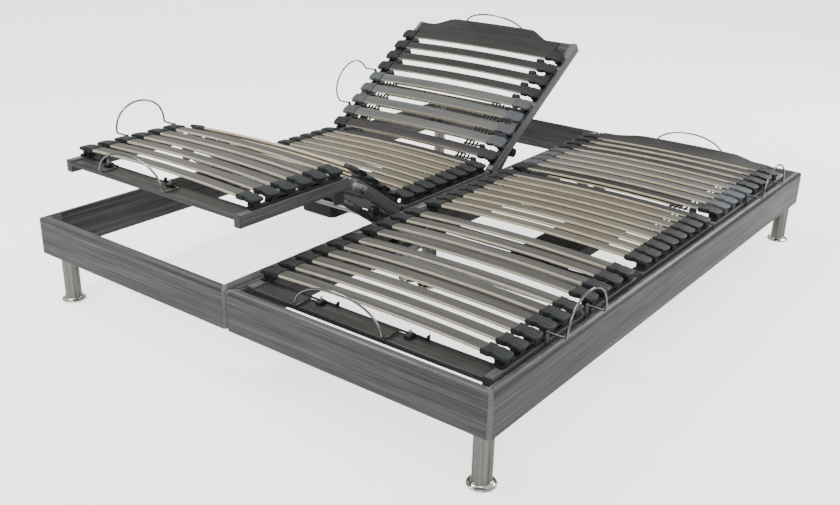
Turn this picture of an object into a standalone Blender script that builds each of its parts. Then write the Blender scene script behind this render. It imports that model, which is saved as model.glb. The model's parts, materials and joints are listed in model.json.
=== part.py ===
"""Twin electric slatted bed base: two halves side by side, the left one raised, the right one flat.

Metres, +Z up. The origin is on the floor under the middle of the base, +X to the right seen from
the foot end, +Y towards the head end. Every moving section is modelled lying flat in its place
and then turned to its rest angle by the empty on its hinge axis.
"""
import math

import bmesh
import bpy
from mathutils import Matrix, Vector

# Box
HALF_WIDTH = 0.8495        # one half, across
HALF_GAP = 0.001           # between the two halves
LENGTH = 2.12              # outside, foot to head
LEG_HEIGHT = 0.15          # floor to the underside of the boards
BOARD_HEIGHT = 0.12
BOARD_THICKNESS = 0.025
BOARD_ROUND = 0.018        # radius of the boards' top outer edge
CORNER_FACE = 0.0095       # how far the corner strip's bevelled face reaches along each side
FLANGE_LENGTH = 0.065      # corner strip's inner flanges, from the outer corner
FLANGE_THICKNESS = 0.003
PLATE_THICKNESS = 0.004    # leg plates
PLATE_MARGIN = 0.038       # leg plate past the middle of its leg
GAP = 0.0003               # between pieces that touch
PLAY = 0.0005              # between pieces that turn past each other

# Legs
LEG_RADIUS = 0.025
LEG_RING_RADIUS = 0.037
LEG_RING_HEIGHT = 0.009
LEG_SIDES = 16
LEG_INSET = 0.040          # leg axis to the outer faces at a plain corner
LEFT_FOOT_LEG_INSET = 0.085  # the left half's foot leg stands further in from the side
MID_LEG_Y = -0.20          # inner leg near the middle of the length

# Deck
RAIL_PROUD = 0.005         # rail top above the boards
RAIL_HEIGHT = 0.038
RAIL_WIDTH = 0.025
RAIL_ROOM = 0.00975        # rail's outer face to the board beside it
BACK_HINGE_Y = 0.270
HEAD_ROOM = 0.065          # back section's end to the head board
THIGH_HINGE_Y = -0.264
THIGH_LENGTH = 0.292
FOOT_ROOM = 0.025          # calf section's end to the foot board
BACK_PLAY = 0.003          # rail end to hinge axis, where the axis is at the rails' top
THIGH_PLAY = 0.016         # the same where it is under them and the rails fold upwards
KNEE_PLAY = 0.010
PLANK_WIDTH = 0.070        # end planks of the calf and back sections
PLANK_THICKNESS = 0.014
PLANK_DROP = 0.003         # plank top below rail top
CROSS_RAIL_WIDTH = 0.025

# Slats and caps
SLAT_WIDTH = 0.038
SLAT_THICKNESS = 0.008
SLAT_RISE = 0.024          # rail top to a slat's underside at its ends
SLAT_BOW = 0.010           # extra height in the middle
SLAT_SHORT = 0.045         # slat's end inside its rail's outer face
SLAT_CUTS = 1
CAP_PAST = 0.004           # cap's tip past its rail's outer face
CAP_LENGTH = 0.070
CAP_WIDTH = 0.048
CAP_FOOT = 0.006           # cap's underside above the rail
CAP_TOP = 0.037            # cap's top above the rail
CARRIER_WIDTH = 0.018      # strip under the caps
SEAT_COUNT = 8
SEAT_FIRST = 0.0550        # first and last rows' middles to the ends of each section
SEAT_LAST = 0.0490
LOW_BACK_COUNT = 5
HIGH_BACK_COUNT = 3
BACK_FIRST = 0.0490
BACK_LAST = 0.1135
THIGH_COUNT = 4
THIGH_FIRST = 0.0550
THIGH_LAST = 0.0270
CALF_COUNT = 6
CALF_FIRST = 0.0700
CALF_LAST = 0.0565
PANEL_SHOULDER = 0.092     # head panel's width at its ends
PANEL_CROWN = 0.138        # and in the middle
PANEL_SHORT = 0.050        # panel's end inside the rail's outer face
PANEL_STEPS = 20

# Wire loops that keep a mattress in place
WIRE_RADIUS = 0.003
SIDE_LOOP_HEIGHT = 0.100
END_LOOP_HEIGHT = 0.088
END_LOOP_WIDTH = 0.290
SIDE_LOOP_PITCHES = 3      # a side loop's feet stand this many slat pitches apart
LOOP_STEPS = 10
LOOP_OVERHANG = 0.022      # side loops stand this far past the outer side boards
CLAMP = 0.011              # clamp block, along the rail or plank
CLAMP_DEPTH = 0.006
WIRE_OVER_RAIL = 0.019     # side wires pass between the caps at this height above the rail
END_LOOP_OUT = 0.010       # end loops stand this far past their plank
FOOT_LOOP_SHIFT = -0.060   # foot loops stand off the middle, towards the left

# Lifting gear
LIFT_BELOW = 0.047         # rails' undersides down to the lift tubes' axes
BACK_LIFT_Y = 0.060        # hinge axis to lift tube, towards the head
LEG_LIFT_Y = 0.064
LIFT_RADIUS = 0.0125
BACK_ARM = 0.160
LEG_ARM = 0.200
BACK_ARM_REST = 9.9        # arm above level when the deck is flat, degrees
LEG_ARM_REST = 7.9
BACK_ARM_RATIO = 1.029     # arm turns this much per degree of its section
LEG_ARM_RATIO = 0.625
ARM_WIDTH = 0.020
ARM_INSET = 0.035          # arm's middle inside the rail's outer face
ARM_THICKNESS = 0.006
ROLLER_RADIUS = 0.018
ROLLER_WIDTH = 0.024
CRANK_LENGTH = 0.030
CRANK_THICKNESS = 0.010
CRANK_LEAN = 34.0          # degrees from straight down, flat
LINK_DROP = 0.045          # parallel link below its hinge axis
LINK_INSET = 0.051         # link bar's middle inside the rail's outer face
LINK_THICKNESS = 0.006
LINK_WIDTH = 0.024
LINK_ROD_RADIUS = 0.008
LUG_THICKNESS = 0.008
CROSS_TUBE_Y = 0.200
CROSS_TUBE_WIDTH = 0.030
CROSS_TUBE_HEIGHT = 0.024
DRIVE_HALF_WIDTH = 0.085
DRIVE_HEIGHT = 0.062
DRIVE_END = 0.045          # housing past the lift tubes' axes
DRIVE_EDGE = 0.010
POCKET_WIDTH = 0.022
POCKET_REACH = 0.041

# Rest angles of the two halves, in degrees
LEFT_BACK, LEFT_THIGH = 33.5, 34.5
RIGHT_BACK, RIGHT_THIGH = 0.0, 0.0

BOARD_TOP = LEG_HEIGHT + BOARD_HEIGHT
RAIL_TOP = BOARD_TOP + RAIL_PROUD
RAIL_BOTTOM = RAIL_TOP - RAIL_HEIGHT
KNEE_Y = THIGH_HINGE_Y - THIGH_LENGTH
FOOT_Y = -(LENGTH / 2 - BOARD_THICKNESS - FOOT_ROOM)
HEAD_Y = LENGTH / 2 - BOARD_THICKNESS - HEAD_ROOM
BACK_LENGTH = HEAD_Y - BACK_HINGE_Y
CALF_LENGTH = KNEE_Y - FOOT_Y
BACK_PITCH = (BACK_LENGTH - BACK_FIRST - BACK_LAST) / (LOW_BACK_COUNT + HIGH_BACK_COUNT)
THIGH_PITCH = (THIGH_LENGTH - THIGH_FIRST - THIGH_LAST) / (THIGH_COUNT - 1)
CALF_PITCH = (CALF_LENGTH - CALF_FIRST - CALF_LAST) / (CALF_COUNT - 1)

# Across a half, from its middle
RAIL_OUTER = HALF_WIDTH / 2 - BOARD_THICKNESS - RAIL_ROOM
CAP_OUTER = RAIL_OUTER + CAP_PAST
SLAT_HALF = RAIL_OUTER - SLAT_SHORT
PANEL_HALF = RAIL_OUTER - PANEL_SHORT
ARM_OFFSET = RAIL_OUTER - ARM_INSET
LINK_OFFSET = RAIL_OUTER - LINK_INSET
LIFT_DROP = RAIL_HEIGHT + LIFT_BELOW

COLOURS = {
    "laminate": ((0.15, 0.15, 0.148), 0.45, 0.0),
    "corner": ((0.22, 0.24, 0.25), 0.4, 0.0),
    "nickel": ((0.55, 0.55, 0.52), 0.28, 1.0),
    "rail": ((0.14, 0.14, 0.145), 0.5, 0.0),
    "dark_slat": ((0.085, 0.08, 0.07), 0.4, 0.0),
    "grey_slat": ((0.2, 0.205, 0.195), 0.4, 0.0),
    "wood_slat": ((0.45, 0.38, 0.27), 0.5, 0.0),
    "steel": ((0.3, 0.3, 0.3), 0.4, 1.0),
    "chrome": ((0.7, 0.7, 0.7), 0.12, 1.0),
    "housing": ((0.05, 0.05, 0.052), 0.5, 0.0),
}


def clear_scene():
    """Start from an empty scene with one collection for pieces and one for cutters."""
    for thing in list(bpy.data.objects):
        bpy.data.objects.remove(thing)
    for name in ("adjustable_bed_base", "tools"):
        group = bpy.data.collections.new(name)
        bpy.context.scene.collection.children.link(group)


def paint(thing, finish):
    """Give an object its own Principled material."""
    colour, rough, metal = COLOURS[finish]
    material = bpy.data.materials.new(thing.name + "_" + finish)
    material.use_nodes = True
    shader = material.node_tree.nodes["Principled BSDF"]
    shader.inputs["Base Color"].default_value = (*colour, 1.0)
    shader.inputs["Roughness"].default_value = rough
    shader.inputs["Metallic"].default_value = metal
    thing.data.materials.clear()
    thing.data.materials.append(material)


def add_object(name, data, collection="tools"):
    """Link a new object; pieces still being put together are kept with the tools."""
    thing = bpy.data.objects.new(name, data)
    bpy.data.collections[collection].objects.link(thing)
    return thing


def from_bmesh(bm, name):
    mesh = bpy.data.meshes.new(name)
    bm.to_mesh(mesh)
    bm.free()
    return add_object(name, mesh)


def box(low, high):
    """A box from two corners."""
    low, high = Vector(low), Vector(high)
    bm = bmesh.new()
    bmesh.ops.create_cube(bm, size=1.0)
    bmesh.ops.scale(bm, vec=high - low, verts=bm.verts)
    bmesh.ops.translate(bm, vec=(high + low) / 2, verts=bm.verts)
    return from_bmesh(bm, "box")


def mirror_box(half, low, high):
    """A box given across one half: its X runs from the half's middle towards its outer side."""
    ends = sorted((half.x(low[0]), half.x(high[0])))
    return box((ends[0], low[1], low[2]), (ends[1], high[1], high[2]))


def bar_along_x(x_low, x_high, y, z, radius, sides=16):
    """A round bar across the bed."""
    bm = bmesh.new()
    turn = Matrix.Rotation(math.radians(90), 3, "Y")
    bmesh.ops.create_cone(bm, cap_ends=True, segments=sides, radius1=radius, radius2=radius,
                          depth=x_high - x_low, matrix=turn.to_4x4())
    bmesh.ops.translate(bm, vec=((x_low + x_high) / 2, y, z), verts=bm.verts)
    return from_bmesh(bm, "bar")


def plate_between(x_low, x_high, start, end, width):
    """A flat bar from start to end, both (y, z), with its thickness along X."""
    along = Vector((0, end[0] - start[0], end[1] - start[1]))
    bm = bmesh.new()
    bmesh.ops.create_cube(bm, size=1.0)
    bmesh.ops.scale(bm, vec=(x_high - x_low, along.length, width), verts=bm.verts)
    bmesh.ops.rotate(bm, cent=(0, 0, 0), verts=bm.verts,
                     matrix=Matrix.Rotation(math.atan2(along.z, along.y), 3, "X"))
    middle = ((x_low + x_high) / 2, (start[0] + end[0]) / 2, (start[1] + end[1]) / 2)
    bmesh.ops.translate(bm, vec=middle, verts=bm.verts)
    return from_bmesh(bm, "plate")


def outline_solid(points, low, high):
    """A flat outline in X and Y, given a thickness from low to high."""
    bm = bmesh.new()
    face = bm.faces.new([bm.verts.new((x, y, low)) for x, y in points])
    grown = bmesh.ops.extrude_face_region(bm, geom=[face])
    top = [v for v in grown["geom"] if isinstance(v, bmesh.types.BMVert)]
    bmesh.ops.translate(bm, vec=(0, 0, high - low), verts=top)
    bmesh.ops.recalc_face_normals(bm, faces=bm.faces)
    return from_bmesh(bm, "outline")


def combine(body, tools, operation="UNION"):
    """Join or cut solids exactly and return the result as one mesh object."""
    if not tools:
        return body
    group = bpy.data.collections.new("operands")
    bpy.context.scene.collection.children.link(group)
    for tool in tools:
        group.objects.link(tool)
    step = body.modifiers.new(operation.lower(), "BOOLEAN")
    step.operation = operation
    step.operand_type = "COLLECTION"
    step.collection = group
    depsgraph = bpy.context.evaluated_depsgraph_get()
    mesh = bpy.data.meshes.new_from_object(body.evaluated_get(depsgraph))
    result = add_object(body.name, mesh)
    for used in [body, *tools]:
        bpy.data.objects.remove(used)
    bpy.data.collections.remove(group)
    return result


def finish(thing, name, finish_name, pivot=None, smooth=None):
    """Name and paint a finished piece and hang it on its section's hinge."""
    mesh = thing.data
    bm = bmesh.new()
    bm.from_mesh(mesh)
    bmesh.ops.remove_doubles(bm, verts=bm.verts, dist=1e-6)
    bm.to_mesh(mesh)
    bm.free()
    piece = add_object(name, mesh, "adjustable_bed_base")
    bpy.data.objects.remove(thing)
    mesh.name = name
    paint(piece, finish_name)
    if smooth:
        mesh.shade_smooth()
        mesh.set_sharp_from_angle(angle=math.radians(smooth))
    if pivot:
        piece.parent = pivot.empty
        piece.matrix_parent_inverse = Matrix.Translation(pivot.flat).inverted()
    return piece


class Pivot:
    """An empty on a hinge axis across the bed, turned to the section's rest angle."""

    def __init__(self, name, flat, degrees, parent=None):
        self.flat = Vector(flat)
        self.empty = add_object(name, None, "adjustable_bed_base")
        self.empty.location = self.flat - (parent.flat if parent else Vector())
        self.empty.rotation_euler = (math.radians(degrees), 0, 0)
        if parent:
            self.empty.parent = parent.empty


class Half:
    """One half of the bed: its side, its rest angles and the places that differ between halves."""

    def __init__(self, name, side, back, thigh, foot_leg_inset, back_loop_slot):
        self.name = name
        self.side = side
        self.middle = side * (HALF_GAP + HALF_WIDTH) / 2
        self.foot_leg_inset = foot_leg_inset
        self.back_loop_slot = back_loop_slot
        axis = self.middle
        back_hinge = (axis, BACK_HINGE_Y, RAIL_TOP)
        thigh_hinge = (axis, THIGH_HINGE_Y, RAIL_BOTTOM)
        knee = (axis, KNEE_Y, RAIL_BOTTOM)
        self.back = Pivot(name + "_back_hinge", back_hinge, back)
        self.thigh = Pivot(name + "_thigh_hinge", thigh_hinge, -thigh)
        self.calf = Pivot(name + "_knee_hinge", knee, thigh, self.thigh)
        self.back_lift = Pivot(name + "_back_lift_axis", (axis, *back_lift_axis()),
                               back * BACK_ARM_RATIO)
        self.leg_lift = Pivot(name + "_leg_lift_axis", (axis, *leg_lift_axis()),
                              -thigh * LEG_ARM_RATIO)
        self.link = Pivot(name + "_link_axis", (axis, THIGH_HINGE_Y, RAIL_BOTTOM - LINK_DROP), -thigh)

    def x(self, across):
        """World X of a distance from the half's middle towards its outer side."""
        return self.middle + self.side * across

    def label(self, piece):
        return self.name + "_" + piece


def back_lift_axis():
    return (BACK_HINGE_Y + BACK_LIFT_Y, RAIL_TOP - LIFT_DROP)


def leg_lift_axis():
    return (THIGH_HINGE_Y + LEG_LIFT_Y, RAIL_TOP - LIFT_DROP)


# Box

def board(name, start, end, inward):
    """A mitred board: outer face from start to end (x, y), inner face moved inward.

    The ends follow the 45 degree mitre beside the corner strips, and the top outer edge is round.
    """
    start, end, inward = Vector(start), Vector(end), Vector(inward)
    along = (end - start).normalized()
    outer_start = start + along * (CORNER_FACE + PLAY)
    outer_end = end - along * (CORNER_FACE + PLAY)
    step = inward * BOARD_THICKNESS
    inner_start = outer_start + step + along * BOARD_THICKNESS
    inner_end = outer_end + step - along * BOARD_THICKNESS
    corners = [outer_start, outer_end, inner_end, inner_start]
    thing = outline_solid([(c.x, c.y) for c in corners], LEG_HEIGHT, BOARD_TOP)
    bm = bmesh.new()
    bm.from_mesh(thing.data)

    def on_outer_top(edge):
        ends = [Vector(v.co.xy) for v in edge.verts]
        high = all(abs(v.co.z - BOARD_TOP) < 1e-5 for v in edge.verts)
        return high and all(abs((e - start).dot(inward)) < 1e-5 for e in ends)

    edges = [e for e in bm.edges if on_outer_top(e)]
    bmesh.ops.bevel(bm, geom=edges, offset=BOARD_ROUND, segments=5, profile=0.5, affect="EDGES")
    bm.to_mesh(thing.data)
    bm.free()
    return finish(thing, name, "laminate", smooth=30)


def corner(name, point, ways, leg_at):
    """Corner strip with its inner flanges and, where a leg stands, the leg plate.

    ways holds the two directions (+-1, +-1) from the outer corner into the bed.
    leg_at is the leg axis measured from the outer corner, or None.
    """
    c, t, g = CORNER_FACE, BOARD_THICKNESS, GAP
    inner, thick, far = t + g, t + g + FLANGE_THICKNESS, FLANGE_LENGTH
    plan = [(c, 0), (inner + c, inner), (far, inner), (far, thick), (thick, thick),
            (thick, far), (inner, far), (inner, inner + c), (0, c)]
    low, high = LEG_HEIGHT + GAP, BOARD_TOP - PLANK_DROP
    bm = bmesh.new()
    points = [(point[0] + ways[0] * a, point[1] + ways[1] * b) for a, b in plan]
    strip = outline_solid(points, low, high)
    bm.from_mesh(strip.data)
    face_edges = []
    for edge in bm.edges:
        reach = [abs(v.co.x - point[0]) + abs(v.co.y - point[1]) for v in edge.verts]
        if max(reach) < c * 1.01 and all(abs(v.co.z - high) < 1e-5 for v in edge.verts):
            face_edges.append(edge)
    bmesh.ops.bevel(bm, geom=face_edges, offset=BOARD_ROUND, segments=5, profile=0.5,
                    affect="EDGES")
    bm.to_mesh(strip.data)
    bm.free()
    tools = []
    if leg_at:
        xs = sorted(point[0] + ways[0] * a for a in (inner + 0.001, leg_at[0] + PLATE_MARGIN))
        ys = sorted(point[1] + ways[1] * b for b in (inner + 0.001, leg_at[1] + PLATE_MARGIN))
        tools.append(box((xs[0], ys[0], low), (xs[1], ys[1], low + PLATE_THICKNESS)))
    return finish(combine(strip, tools), name, "corner")


def leg(name, x, y):
    """Round leg with a spread base ring, turned from its profile."""
    profile = [(LEG_RADIUS, LEG_HEIGHT), (LEG_RADIUS, LEG_RING_HEIGHT * 1.6),
               (LEG_RADIUS + 0.003, LEG_RING_HEIGHT), (LEG_RING_RADIUS, LEG_RING_HEIGHT * 0.75),
               (LEG_RING_RADIUS, 0.002), (LEG_RING_RADIUS - 0.003, 0.0)]
    bm = bmesh.new()
    points = [bm.verts.new((r, 0, z)) for r, z in [(0.0, LEG_HEIGHT), *profile, (0.0, 0.0)]]
    for first, second in zip(points, points[1:]):
        bm.edges.new((first, second))
    thing = from_bmesh(bm, "leg")
    turn = thing.modifiers.new("turn", "SCREW")
    turn.steps = turn.render_steps = LEG_SIDES
    turn.use_merge_vertices = True
    turn.merge_threshold = 1e-5
    depsgraph = bpy.context.evaluated_depsgraph_get()
    mesh = bpy.data.meshes.new_from_object(thing.evaluated_get(depsgraph))
    mesh.transform(Matrix.Translation((x, y, 0)))
    bpy.data.objects.remove(thing)
    return finish(add_object("leg", mesh), name, "nickel", smooth=40)


def build_box(half):
    """Boards, corner strips and legs of one half."""
    side = half.side
    outer, inner = half.x(HALF_WIDTH / 2), half.x(-HALF_WIDTH / 2)
    foot, head = -LENGTH / 2, LENGTH / 2
    board(half.label("foot_board"), (outer, foot), (inner, foot), (0, 1))
    board(half.label("head_board"), (outer, head), (inner, head), (0, -1))
    board(half.label("outer_side_board"), (outer, foot), (outer, head), (-side, 0))
    board(half.label("inner_side_board"), (inner, foot), (inner, head), (side, 0))
    foot_leg = (half.foot_leg_inset, LEG_INSET)
    head_leg = (LEG_INSET, LEG_INSET)
    corner(half.label("corner_foot_outer"), (outer, foot), (-side, 1), foot_leg)
    corner(half.label("corner_foot_inner"), (inner, foot), (side, 1), None)
    corner(half.label("corner_head_outer"), (outer, head), (-side, -1), head_leg)
    corner(half.label("corner_head_inner"), (inner, head), (side, -1), head_leg)
    leg(half.label("leg_foot"), outer - side * foot_leg[0], foot + foot_leg[1])
    leg(half.label("leg_head"), outer - side * head_leg[0], head - head_leg[1])
    leg(half.label("leg_head_inner"), inner + side * head_leg[0], head - head_leg[1])
    leg(half.label("leg_mid_inner"), inner + side * LEG_INSET, MID_LEG_Y)


# Slats

def slat(half, y):
    """A slat across the half, a little higher in the middle than at its ends."""
    low = RAIL_TOP + SLAT_RISE
    bm = bmesh.new()
    bmesh.ops.create_cube(bm, size=1.0)
    bmesh.ops.scale(bm, vec=(SLAT_HALF * 2, SLAT_WIDTH, SLAT_THICKNESS), verts=bm.verts)
    across = [e for e in bm.edges if abs(e.verts[0].co.x - e.verts[1].co.x) > SLAT_HALF]
    bmesh.ops.subdivide_edges(bm, edges=across, cuts=SLAT_CUTS, use_grid_fill=True)
    for vert in bm.verts:
        vert.co.z += SLAT_BOW * (1 - (vert.co.x / SLAT_HALF) ** 2)
    bmesh.ops.translate(bm, vec=(half.middle, y, low + SLAT_THICKNESS / 2), verts=bm.verts)
    return from_bmesh(bm, "slat")


def caps_and_carriers(half, places):
    """Rubber caps on both rails at each place, on the two carrier strips that hold them."""
    pieces = []
    rail_middle = RAIL_OUTER - RAIL_WIDTH / 2
    low, high = min(places) - CAP_WIDTH / 2, max(places) + CAP_WIDTH / 2
    for sign in (-1, 1):
        pieces.append(mirror_box(
            half, (sign * (rail_middle - CARRIER_WIDTH / 2), low, RAIL_TOP + GAP),
            (sign * (rail_middle + CARRIER_WIDTH / 2), high, RAIL_TOP + CAP_FOOT + 0.001)))
        for y in places:
            pieces.append(mirror_box(
                half, (sign * (CAP_OUTER - CAP_LENGTH), y - CAP_WIDTH / 2, RAIL_TOP + CAP_FOOT),
                (sign * CAP_OUTER, y + CAP_WIDTH / 2, RAIL_TOP + CAP_TOP)))
    return pieces


def slat_bank(half, name, places, finish_name, pivot=None):
    """A row of slats with their caps, as one suspended bank."""
    pieces = caps_and_carriers(half, places) + [slat(half, y) for y in places]
    return finish(combine(pieces[0], pieces[1:]), half.label(name), finish_name, pivot)


def row(first, pitch, count):
    return [first + pitch * index for index in range(count)]


def calf_rows():
    return row(FOOT_Y + CALF_FIRST, CALF_PITCH, CALF_COUNT)


def thigh_rows():
    return row(THIGH_HINGE_Y - THIGH_FIRST, -THIGH_PITCH, THIGH_COUNT)


def seat_rows():
    pitch = (BACK_HINGE_Y - THIGH_HINGE_Y - SEAT_FIRST - SEAT_LAST) / (SEAT_COUNT - 1)
    return row(THIGH_HINGE_Y + SEAT_FIRST, pitch, SEAT_COUNT)


def back_rows():
    return row(BACK_HINGE_Y + BACK_FIRST, BACK_PITCH, LOW_BACK_COUNT + HIGH_BACK_COUNT + 1)


def head_panel(half):
    """The shaped last slat: straight towards the seat, a raised crown towards the head."""
    start = back_rows()[-1] - SLAT_WIDTH / 2
    low = RAIL_TOP + SLAT_RISE
    points = [(half.middle - PANEL_HALF, start), (half.middle + PANEL_HALF, start)]
    for index in range(PANEL_STEPS + 1):
        across = PANEL_HALF * (1 - 2 * index / PANEL_STEPS)
        rise = min(max((PANEL_HALF * 0.86 - abs(across)) / (PANEL_HALF * 0.32), 0.0), 1.0)
        smooth = rise * rise * (3 - 2 * rise)
        width = PANEL_SHOULDER + (PANEL_CROWN - PANEL_SHOULDER) * smooth
        points.append((half.middle + across, start + width))
    panel = outline_solid(points, low, low + SLAT_THICKNESS)
    pieces = caps_and_carriers(half, [back_rows()[-1]])
    return finish(combine(panel, pieces), half.label("head_panel"), "dark_slat", half.back)


# Deck frames

def rails(half, y_low, y_high):
    """Both side rails of a section."""
    return [mirror_box(half, (sign * (RAIL_OUTER - RAIL_WIDTH), y_low, RAIL_BOTTOM),
                       (sign * RAIL_OUTER, y_high, RAIL_TOP)) for sign in (-1, 1)]


def cross_bar(half, y_low, y_high, z_low, z_high):
    """A bar between the two side rails, let into them."""
    reach = RAIL_OUTER - RAIL_WIDTH / 2
    return mirror_box(half, (-reach, y_low, z_low), (reach, y_high, z_high))


def end_plank(half, y_low):
    """The flat plank between the rails at the end of a section."""
    top = RAIL_TOP - PLANK_DROP
    return cross_bar(half, y_low, y_low + PLANK_WIDTH, top - PLANK_THICKNESS, top)


def brackets(half, plate, tie):
    """A bracket under each rail, just outside the link bars: a plate, and a block that ties it.

    plate is (y_low, y_high, z_low) and tie is (y_low, y_high).
    """
    inner = LINK_OFFSET + LINK_THICKNESS / 2 + PLAY
    rail_face = RAIL_OUTER - RAIL_WIDTH + 0.0015
    pieces = []
    for sign in (-1, 1):
        pieces.append(mirror_box(half, (sign * inner, plate[0], plate[2]),
                                 (sign * (inner + LUG_THICKNESS), plate[1], RAIL_BOTTOM - PLAY)))
        pieces.append(mirror_box(half, (sign * inner, tie[0], RAIL_BOTTOM - 0.004),
                                 (sign * rail_face, tie[1], RAIL_TOP - 0.006)))
    return pieces


def calf_frame(half):
    pieces = rails(half, FOOT_Y, KNEE_Y - KNEE_PLAY)
    pieces.append(end_plank(half, FOOT_Y))
    knee_bar = KNEE_Y - KNEE_PLAY - 0.030
    pieces.append(cross_bar(half, knee_bar - CROSS_RAIL_WIDTH, knee_bar, RAIL_BOTTOM + 0.004,
                            RAIL_TOP - 0.004))
    end = KNEE_Y - KNEE_PLAY
    pieces += brackets(half, (end - 0.024, KNEE_Y + 0.012, RAIL_BOTTOM - LINK_DROP - 0.012),
                       (end - 0.024, end))
    return finish(combine(pieces[0], pieces[1:]), half.label("calf_frame"), "rail", half.calf)


def thigh_frame(half):
    pieces = rails(half, KNEE_Y + KNEE_PLAY, THIGH_HINGE_Y - THIGH_PLAY)
    middle = THIGH_HINGE_Y - THIGH_LENGTH / 2
    pieces.append(cross_bar(half, middle - CROSS_RAIL_WIDTH / 2, middle + CROSS_RAIL_WIDTH / 2,
                            RAIL_TOP - 0.024, RAIL_TOP - 0.004))
    return finish(combine(pieces[0], pieces[1:]), half.label("thigh_frame"), "rail", half.thigh)


def back_frame(half):
    pieces = rails(half, BACK_HINGE_Y + BACK_PLAY, HEAD_Y)
    pieces.append(end_plank(half, HEAD_Y - PLANK_WIDTH))
    middle = BACK_HINGE_Y + BACK_LENGTH * 0.42
    pieces.append(cross_bar(half, middle, middle + CROSS_RAIL_WIDTH, RAIL_BOTTOM + 0.004,
                            RAIL_TOP - 0.004))
    return finish(combine(pieces[0], pieces[1:]), half.label("back_frame"), "rail", half.back)


def seat_frame(half):
    """Fixed rails, cross tubes to the boards, and the lugs that carry the lifting gear."""
    pieces = rails(half, THIGH_HINGE_Y + THIGH_PLAY, BACK_HINGE_Y - BACK_PLAY)
    reach = HALF_WIDTH / 2 - BOARD_THICKNESS - GAP
    tube_top = RAIL_BOTTOM + 0.001
    for y in (-CROSS_TUBE_Y, CROSS_TUBE_Y):
        low, high = y - CROSS_TUBE_WIDTH / 2, y + CROSS_TUBE_WIDTH / 2
        pieces.append(mirror_box(half, (-reach, low, tube_top - CROSS_TUBE_HEIGHT),
                                 (reach, high, tube_top)))
        for sign in (-1, 1):
            pieces.append(mirror_box(
                half, (sign * (reach - FLANGE_THICKNESS), low - 0.02, LEG_HEIGHT + 0.03),
                (sign * reach, high + 0.02, BOARD_TOP - 0.012)))
    low = RAIL_TOP - LIFT_DROP - 0.024
    back_end, leg_end = BACK_HINGE_Y - BACK_PLAY, THIGH_HINGE_Y + THIGH_PLAY
    pieces += brackets(half, (back_end - 0.050, back_lift_axis()[0] + 0.024, low),
                       (back_end - 0.050, back_end))
    pieces += brackets(half, (THIGH_HINGE_Y - 0.016, leg_lift_axis()[0] + 0.024, low),
                       (leg_end, leg_end + 0.050))
    foot_of_web = LEG_HEIGHT + GAP
    web = (-reach + 0.0005, -CROSS_TUBE_Y - 0.025, foot_of_web)
    pieces.append(mirror_box(half, web, (-reach + 0.055, -CROSS_TUBE_Y + 0.025,
                                         foot_of_web + PLATE_THICKNESS)))
    pieces.append(mirror_box(half, web, (-reach + 0.006, -CROSS_TUBE_Y + 0.025, tube_top - 0.005)))
    frame = combine(pieces[0], pieces[1:])
    bores = []
    for y, z in (back_lift_axis(), leg_lift_axis()):
        for sign in (-1, 1):
            ends = sorted((half.x(sign * (LINK_OFFSET - 0.01)), half.x(sign * (LINK_OFFSET + 0.02))))
            bores.append(bar_along_x(ends[0], ends[1], y, z, LIFT_RADIUS + 0.001))
    return finish(combine(frame, bores, "DIFFERENCE"), half.label("seat_frame"), "steel")


def calf_link(half):
    """Two bars that keep the calf section level, joined by a rod: a parallelogram with the thigh."""
    start = (THIGH_HINGE_Y, RAIL_BOTTOM - LINK_DROP)
    end = (KNEE_Y, RAIL_BOTTOM - LINK_DROP)
    pieces = []
    for sign in (-1, 1):
        ends = sorted(half.x(sign * (LINK_OFFSET + way * LINK_THICKNESS / 2)) for way in (-1, 1))
        pieces.append(plate_between(ends[0], ends[1], start, end, LINK_WIDTH))
    middle = ((start[0] + end[0]) / 2, (start[1] + end[1]) / 2)
    pieces.append(bar_along_x(half.x(0) - LINK_OFFSET, half.x(0) + LINK_OFFSET, *middle,
                              LINK_ROD_RADIUS, 12))
    return finish(combine(pieces[0], pieces[1:]), half.label("calf_link"), "steel", half.link)


# Drive and lifting gear

def lift_tube(half, name, axis, arm, degrees, way, pivot):
    """A tube across the half with two roller arms under the rails and a crank in the middle."""
    y, z = axis
    inner, outer = ARM_OFFSET - ARM_THICKNESS / 2, ARM_OFFSET + ARM_THICKNESS / 2
    pieces = [bar_along_x(half.x(0) - outer, half.x(0) + outer, y, z, LIFT_RADIUS)]
    lift = math.radians(degrees)
    tip = (y + way * arm * math.cos(lift), z + arm * math.sin(lift))
    for sign in (-1, 1):
        ends = sorted((half.x(sign * inner), half.x(sign * outer)))
        pieces.append(plate_between(ends[0], ends[1], (y, z), tip, ARM_WIDTH))
        roll = sorted((half.x(sign * (outer - 0.002)), half.x(sign * (outer + ROLLER_WIDTH))))
        pieces.append(bar_along_x(roll[0], roll[1], *tip, ROLLER_RADIUS, 12))
    down = math.radians(CRANK_LEAN)
    crank = (y - way * CRANK_LENGTH * math.sin(down), z - CRANK_LENGTH * math.cos(down))
    pieces.append(plate_between(half.x(0) - CRANK_THICKNESS / 2, half.x(0) + CRANK_THICKNESS / 2,
                                (y, z), crank, 0.018))
    return finish(combine(pieces[0], pieces[1:]), half.label(name), "steel", pivot, smooth=40)


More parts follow.
